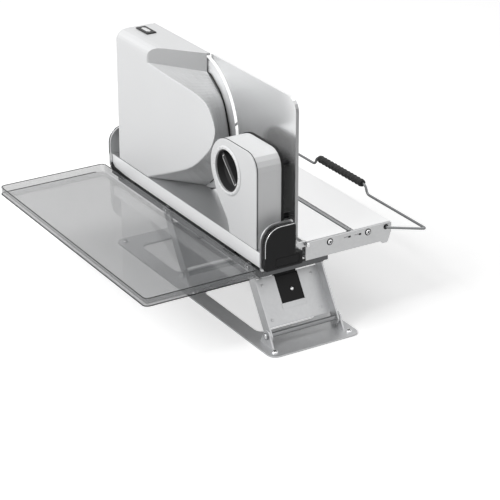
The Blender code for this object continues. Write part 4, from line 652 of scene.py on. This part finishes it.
# Knob: a pale line beside its bar, a painted highlight of the bar's edge, pale marks at the bar's
# ends, and the scale on the collar around it
LEAN = (AWAY + UP).normalized()
BESIDE = (AWAY - UP).normalized()
BAR_BACK, SCALE_FORWARD = 2.1, 2.5
HIGHLIGHT_SHIFT, END_MARK_REACH, SCALE_RADIUS = 2.75, 18.8, 26.9
SCALE_MARKS, LONG_MARK_EVERY = 24, 4
dial_low, _, dial_middle = box_of("thickness_knob")
dial_face = Vector((dial_low.x, dial_middle.y, dial_middle.z))
bar_face = Vector((dial_low.x + BAR_BACK * MM, dial_middle.y, dial_middle.z))
middle = bar_face + BESIDE * HIGHLIGHT_SHIFT * MM
outline = pill(middle, LEAN, BESIDE, 36 * MM, 0.7 * MM)
slab("dial_bar_highlight", outline, (-0.3 * MM, 0, 0), "ring", "dial", 0.08 * MM)
for index, way in enumerate((-1, 1)):
    middle = bar_face + LEAN * way * END_MARK_REACH * MM
    outline = pill(middle, BESIDE, LEAN, 4.6 * MM, 0.9 * MM)
    slab(f"dial_end_mark_{index}", outline, (-0.3 * MM, 0, 0), "ring", "dial", 0.08 * MM)
for index in range(SCALE_MARKS):
    angle = 2 * pi * index / SCALE_MARKS
    out = AWAY * cos(angle) + UP * sin(angle)
    side = AWAY * -sin(angle) + UP * cos(angle)
    middle = dial_face + out * SCALE_RADIUS * MM + ACROSS * -SCALE_FORWARD * MM
    length = 1.5 * MM if index % LONG_MARK_EVERY else 2.6 * MM
    outline = pill(middle, out, side, length, 0.35 * MM, steps=3)
    slab(f"dial_tick_{index}", outline, (-0.06 * MM, 0, 0), "wire", "slicer", 0.02 * MM)

# Black line between the housing's mouth and the blade: painted shade of the gap
MOUTH_SECTION = 1.6 * MM
MOUTH_LEVELS = range(112, 274, 3)
MOUTH_WINDOW = 3.5 * MM
GAP_SHADE_RADIUS, GAP_SHADE_BACK = 0.8 * MM, 0.1 * MM
gap_shade_x = (face_of("housing_side_plate", "x", 1) + face_of("blade", "x", -1)) / 2 + 0.1 * MM
mouth = [point for loop in section_loops("motor_housing", "X", MOUTH_SECTION) for point in loop]
edge_points = []
for level in MOUTH_LEVELS:
    near = [point.y for point in mouth if abs(point.z - level * MM) < MOUTH_WINDOW]
    if near:
        edge_points.append((min(near), level * MM))
gap_shade_path = []
for index in range(1, len(edge_points) - 1):
    mean = sum(away for away, _ in edge_points[index - 1:index + 2]) / 3
    gap_shade_path.append(Vector((gap_shade_x, mean + GAP_SHADE_BACK, edge_points[index][1])))
tube("mouth_gap_shade", gap_shade_path, GAP_SHADE_RADIUS, "black", "slicer")

# Catch tray: nearly straight walls, tight corners, and dark lines along its rim and foot, painted
# shade for its edges that look dark end on
TRAY_INSET_LEFT, TRAY_INSET_FRONT = 13 * MM, 11.5 * MM
TRAY_CORNER, TRAY_LEAST_CORNER = 6.5 * MM, 1.5 * MM
TRAY_WALL, TRAY_DRAFT, TRAY_CHAMFER, TRAY_FILLET = 1.7 * MM, 0.9 * MM, 0.8 * MM, 1.2 * MM
tray_low, tray_high, _ = box_of("catch_tray")


def tray_loop(inset, height, steps=7):
    """The tray's outline with rounded corners, drawn in by an inset at a height."""
    left, right = tray_low.x + TRAY_INSET_LEFT + inset, tray_high.x - inset
    near, far = tray_low.y + TRAY_INSET_FRONT + inset, tray_high.y - inset
    radius = max(TRAY_CORNER - inset, TRAY_LEAST_CORNER)
    corners = (
        (right - radius, far - radius, 0), (left + radius, far - radius, 90),
        (left + radius, near + radius, 180), (right - radius, near + radius, 270),
    )
    points = []
    for x, y, start in corners:
        for step in range(steps + 1):
            angle = radians(start + 90 * step / steps)
            points.append(Vector((x + radius * cos(angle), y + radius * sin(angle), height)))
    return points


def tray_mesh():
    """The tray's skin: up its outside, over the rim, down its inside, and both floors."""
    low, high = tray_low.z, tray_high.z
    inner = TRAY_WALL + TRAY_DRAFT
    rings = (
        (TRAY_DRAFT + TRAY_CHAMFER, low),
        (TRAY_DRAFT, low + TRAY_CHAMFER),
        (0.1 * MM, high - 0.5 * MM),
        (0.5 * MM, high),
        (TRAY_WALL - 0.4 * MM, high),
        (TRAY_WALL, high - 0.5 * MM),
        (inner, low + TRAY_WALL + TRAY_FILLET),
        (inner + TRAY_FILLET, low + TRAY_WALL),
    )
    bm = bmesh.new()
    rows = [[bm.verts.new(point) for point in tray_loop(*ring)] for ring in rings]
    for row, following in zip(rows, rows[1:]):
        for index in range(len(row)):
            after = (index + 1) % len(row)
            bm.faces.new((row[index], row[after], following[after], following[index]))
    bm.faces.new(rows[0])
    bm.faces.new(rows[-1])
    bmesh.ops.recalc_face_normals(bm, faces=bm.faces)
    return smoothed(settled("clear_tray", bm), TURNED_SHARP)


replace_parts(new_piece("clear_tray", tray_mesh(), "clear", "tray"), "catch_tray")
# Dark lines along the rim and the foot: painted shade of the clear edges seen end on.
rim_line = tray_loop(0.75 * MM, tray_high.z)
tube("tray_rim_line", rim_line, 0.48 * MM, "tray_edge_shade", "tray", closed=True)
deck_side = tray_high.x - 12 * MM
foot_loop = tray_loop(0.3 * MM, tray_low.z + 0.65 * MM)
foot_line = [point for point in foot_loop if point.x < deck_side]
foot_line.insert(0, Vector((deck_side, *foot_line[0].yz)))
foot_line.append(Vector((deck_side, *foot_line[-1].yz)))
tube("tray_foot_line", foot_line, 0.6 * MM, "tray_edge_shade", "tray")

# Cover of the rear tray hook
HOOK_COVER = ((371.5, 97), (366, 92.5), (329, 89.6), (341, 83.5), (371.5, 82.5))
cover_x = box_of("base_plate")[0].x - 0.35 * MM
outline = [Vector((cover_x, away * MM, high * MM)) for away, high in HOOK_COVER]
slab("rear_hook_cover", outline, (-1.5 * MM, 0, 0), "soft_black", "slicer", 0.3 * MM)

# Panel of the insert on the housing's top
_, insert_high, insert_middle = box_of("top_insert")
middle = Vector((insert_middle.x, insert_middle.y, insert_high.z))
outline = pill(middle, AWAY, ACROSS, 19 * MM, 6 * MM, steps=2)
slab("badge_panel", outline, (0, 0, 0.2 * MM), "ring", "slicer", 0.1 * MM)

# End caps: a bright bead over the upper left of their rims, a painted highlight of the caps'
# edges, and the stud of the tip hinge
HIGHLIGHT_IN, HIGHLIGHT_UP = 12 * MM, 14 * MM
for end, way in ENDS:
    low, high, middle = box_of(f"{end}_end_cap")
    highlight_y = face_of(f"{end}_end_cap", "y", way) - way * 1.1 * MM
    turn_x, turn_z = high.x - HIGHLIGHT_IN, low.z + HIGHLIGHT_UP
    rim = [
        Vector((point.x, highlight_y, point.z))
        for point in section_loops(f"{end}_end_cap", "Y", middle.y)[0]
        if point.x < turn_x and point.z > turn_z
    ]
    rim.sort(key=lambda point: atan2(point.z - turn_z, point.x - turn_x), reverse=True)
    tube(f"{end}_cap_highlight", rim, 0.42 * MM, "bright", "slicer")
    place = (box_of(f"{end}_tip_pin")[2].x, middle.y + way * 1.2 * MM, deck_height)
    stud(f"{end}_tip_stud", place, (0, way, 0), "platform", 2.6 * MM, 1.2 * MM, "bright")

# Latch and rivets of the front bracket, and the buffer of the rear one
RAISED = radians(57)
ARM_ALONG = Vector((0, cos(RAISED), sin(RAISED)))
ARM_OUT = Vector((0, -sin(RAISED), cos(RAISED)))
front_pivot = box_of("front_floor_rod")[2]
rear_pivot = box_of("rear_floor_rod")[2]


def on_arm(pivot, across, along, out):
    """A place on a raised bracket, in millimetres from its lower pivot."""
    return pivot + ARM_ALONG * along * MM + ARM_OUT * out * MM + ACROSS * across * MM


LATCH_LIP = ((-14.5, 24.8), (18.5, 24.8), (18.5, 31.3), (-14.5, 31.3))
LATCH_GAP_SHADE = ((-12.4, 63.2), (16.4, 63.2), (16.4, 69), (-12.4, 69))
BUFFER = ((-11, 38), (11, 38), (11, 54), (7, 59), (-7, 59), (-11, 54))
place = on_arm(front_pivot, 4, 45.5, -7.4)
stud("latch_stud", place, ARM_OUT, "latch", 2.45 * MM, 2.4 * MM, "bright")
for name, pivot, corners, out, deep, look_name, body, edge in (
    ("latch_lip", front_pivot, LATCH_LIP, -6.95, 0.45, "zinc", "latch", 0.12),
    # A black block over the latch: painted shade in the window above it.
    ("latch_gap_shade", front_pivot, LATCH_GAP_SHADE, -12.4, 5.0, "soft_black", "latch", 0.12),
    ("rear_buffer", rear_pivot, BUFFER, -7.2, 5.0, "soft_black", "rear_arm", 0.8),
):
    outline = [on_arm(pivot, across, along, out) for across, along in corners]
    slab(name, outline, ARM_OUT * deep * MM, look_name, body, edge * MM)
for index, across in enumerate((-6, 6)):
    place = on_arm(rear_pivot, across, 46, -2.2)
    pan_screw(f"rear_buffer_screw_{index}", place, ARM_OUT, "rear_arm", 2.2 * MM, "bright")
for index, across in enumerate((-32, 34)):
    for row, along in enumerate((16, 57)):
        place = on_arm(front_pivot, across, along, -7)
        name = f"front_web_rivet_{index}_{row}"
        stud(name, place, ARM_OUT, "front_arm", 1.7 * MM, 0.8 * MM, "zinc")

# Ends of the pivot rods
ROD_RIDERS = {
    "front_floor_rod": "floor", "rear_floor_rod": "floor",
    "front_upper_rod": "front_arm", "rear_upper_rod": "rear_arm",
}
for rod_name, rider in ROD_RIDERS.items():
    middle = box_of(rod_name)[2]
    for side, way in (("left", -1), ("right", 1)):
        place = (face_of(rod_name, "x", way), middle.y, middle.z)
        name = f"{rod_name}_{side}_end"
        stud(name, place, (way, 0, 0), rider, 3.1 * MM, 0.9 * MM, "bright")

# Screws of the floor frame
FRAME_TOP = 2 * MM
FLOOR_SCREWS = ((-50, -20), (50, -20), (-50, 335), (50, 335), (-50, 160), (50, 160))
for index, (across, away) in enumerate(FLOOR_SCREWS):
    place = (across * MM, away * MM, FRAME_TOP)
    pan_screw(f"floor_screw_{index}", place, UP, "floor", 3.6 * MM, "bright")

# Screws of the housing's cover, and vents of the cover and of the housing's back
COVER_SCREWS = ((336, 264), (336, 124), (272, 268))
COVER_VENTS, COVER_VENT_Y, COVER_VENT_Z, COVER_VENT_PITCH = 9, 338, 160, 7.5
REAR_VENTS, REAR_VENT_X, REAR_VENT_Z, REAR_VENT_PITCH = 7, -22, 226, 5.5
cover_face = face_of("housing_side_plate", "x", 1)
rear_face = face_of("motor_housing", "y", 1)
for index, (away, high) in enumerate(COVER_SCREWS):
    place = (cover_face, away * MM, high * MM)
    pan_screw(f"cover_screw_{index}", place, ACROSS, "slicer", 2.4 * MM, "oxide")
# The vents are dark pills on the surface: painted shade of their openings.
for index in range(COVER_VENTS):
    high = (COVER_VENT_Z + COVER_VENT_PITCH * index) * MM
    outline = pill(Vector((cover_face, COVER_VENT_Y * MM, high)), AWAY, UP, 17 * MM, 2.4 * MM)
    slab(f"cover_vent_{index}", outline, (0.5 * MM, 0, 0), "oxide", "slicer", 0.2 * MM)
for index in range(REAR_VENTS):
    high = (REAR_VENT_Z + REAR_VENT_PITCH * index) * MM
    outline = pill(Vector((REAR_VENT_X * MM, rear_face, high)), ACROSS, UP, 27 * MM, 2.2 * MM)
    slab(f"rear_vent_{index}", outline, (0, 0.12 * MM, 0), "oxide", "slicer", 0.05 * MM)

# Screws of the rear end cap
CAP_SCREWS, CAP_SCREW_HEIGHT = (-36, -6), 97 * MM
cap_back = face_of("rear_end_cap", "y", 1)
for index, across in enumerate(CAP_SCREWS):
    place = (across * MM, cap_back, CAP_SCREW_HEIGHT)
    pan_screw(f"rear_cap_screw_{index}", place, AWAY, "slicer", 2.6 * MM, "bright")

# Base: a pale strip along its left side, painted light on that face, and the screws under it
STRIP_SHORT = 0.3 * MM
BASE_SCREWS, BASE_SCREW_X = (112, 200, 290), -40 * MM
base_low, base_high, _ = box_of("base_plate")
near, far = base_low.y + STRIP_SHORT, base_high.y - STRIP_SHORT
corners = ((near, base_low.z), (far, base_low.z), (far, base_high.z), (near, base_high.z))
outline = [Vector((base_low.x, away, high)) for away, high in corners]
slab("base_side_light", outline, (-0.25 * MM, 0, 0), "strip", "slicer", 0.1 * MM)
for index, away in enumerate(BASE_SCREWS):
    place = (BASE_SCREW_X, away * MM, base_low.z)
    pan_screw(f"base_screw_{index}", place, -UP, "slicer", 2.6 * MM, "bright")

# Screws of the knob box's back part
BOX_SCREWS = ((35, 116), (60, 116), (36, 212), (118, 190))
box_back = face_of("knob_box_back", "x", 1)
for index, (away, high) in enumerate(BOX_SCREWS):
    place = (box_back, away * MM, high * MM)
    pan_screw(f"box_screw_{index}", place, ACROSS, "slicer", 2.0 * MM, "oxide")

# Floor, light and camera
FLOOR_HALF_SIZE, FLOOR_DROP, FLOOR_GLOW = 6.0, 0.2 * MM, 0.4
WORLD_LEVEL = 0.38
WHITE = (1, 1, 1, 1)


def floor_look():
    """Pale floor that the camera sees as near white, with the shadow kept."""
    look = Look("studio_floor", roughness=0.9, colour=(0.86, 0.86, 0.86))
    look.give(Specular_IOR_Level=0.1)
    plain = Value(look, look.shader.outputs[0])
    seen = look.node("ShaderNodeLightPath", output="Is Camera Ray")
    glow = look.node("ShaderNodeEmission", None, {"Color": WHITE, "Strength": FLOOR_GLOW})
    added = look.node("ShaderNodeAddShader", None, {0: plain, 1: glow})
    mixed = look.node("ShaderNodeMixShader", None, {0: seen, 1: plain, 2: added})
    look.feed(look.tree.nodes["Material Output"].inputs["Surface"], mixed)
    return look.material


def lay_floor():
    bm = bmesh.new()
    bmesh.ops.create_grid(bm, x_segments=1, y_segments=1, size=FLOOR_HALF_SIZE)
    made = linked("studio_floor", settled("studio_floor", bm))
    made.location = (0, 0, -FLOOR_DROP)
    made.data.materials.append(floor_look())


def area_light(name, place, target, side, power):
    light = bpy.data.lights.new(name, "AREA")
    light.shape = "RECTANGLE"
    light.size = light.size_y = side
    light.energy = power
    made = linked(name, light)
    made.location = place
    made.rotation_euler = (target - Vector(place)).to_track_quat("-Z", "Y").to_euler()


def world_look():
    """White to the camera and in reflections, and a plain level for the light it gives."""
    world = bpy.data.worlds.new("studio")
    world.use_nodes = True
    nodes = Nodes(world.node_tree)
    seen = nodes.node("ShaderNodeLightPath", output="Is Camera Ray")
    for ray in ("Is Glossy Ray", "Is Transmission Ray"):
        seen = nodes.maths("MAXIMUM", seen, nodes.node("ShaderNodeLightPath", output=ray))
    level = nodes.node("ShaderNodeMix", None, {0: seen, PLAIN_A: WORLD_LEVEL, PLAIN_B: 1.0})
    background = nodes.tree.nodes["Background"]
    nodes.feed(background.inputs["Color"], WHITE)
    nodes.feed(background.inputs["Strength"], level)
    bpy.context.scene.world = world


lay_floor()
lit = Vector((0.0, 0.18, 0.16))
area_light("key", (-1.6, 0.3, 1.6), lit, 1.1, 34)
area_light("top", (0.3, 0.5, 2.0), lit, 1.6, 8)
world_look()

PITCH, YAW = radians(24.5), radians(31.4)
camera = bpy.data.cameras.new("camera")
camera.sensor_width = 36.0
camera.lens = 138.67
camera.clip_end = 30.0
viewer = linked("camera", camera)
viewer.location = (-1.0736, -1.6432, 1.0026)
forward = Vector((sin(YAW) * cos(PITCH), cos(YAW) * cos(PITCH), -sin(PITCH)))
viewer.rotation_euler = forward.to_track_quat("-Z", "Y").to_euler()
bpy.context.scene.camera = viewer
bpy.context.scene.view_settings.view_transform = "Standard"
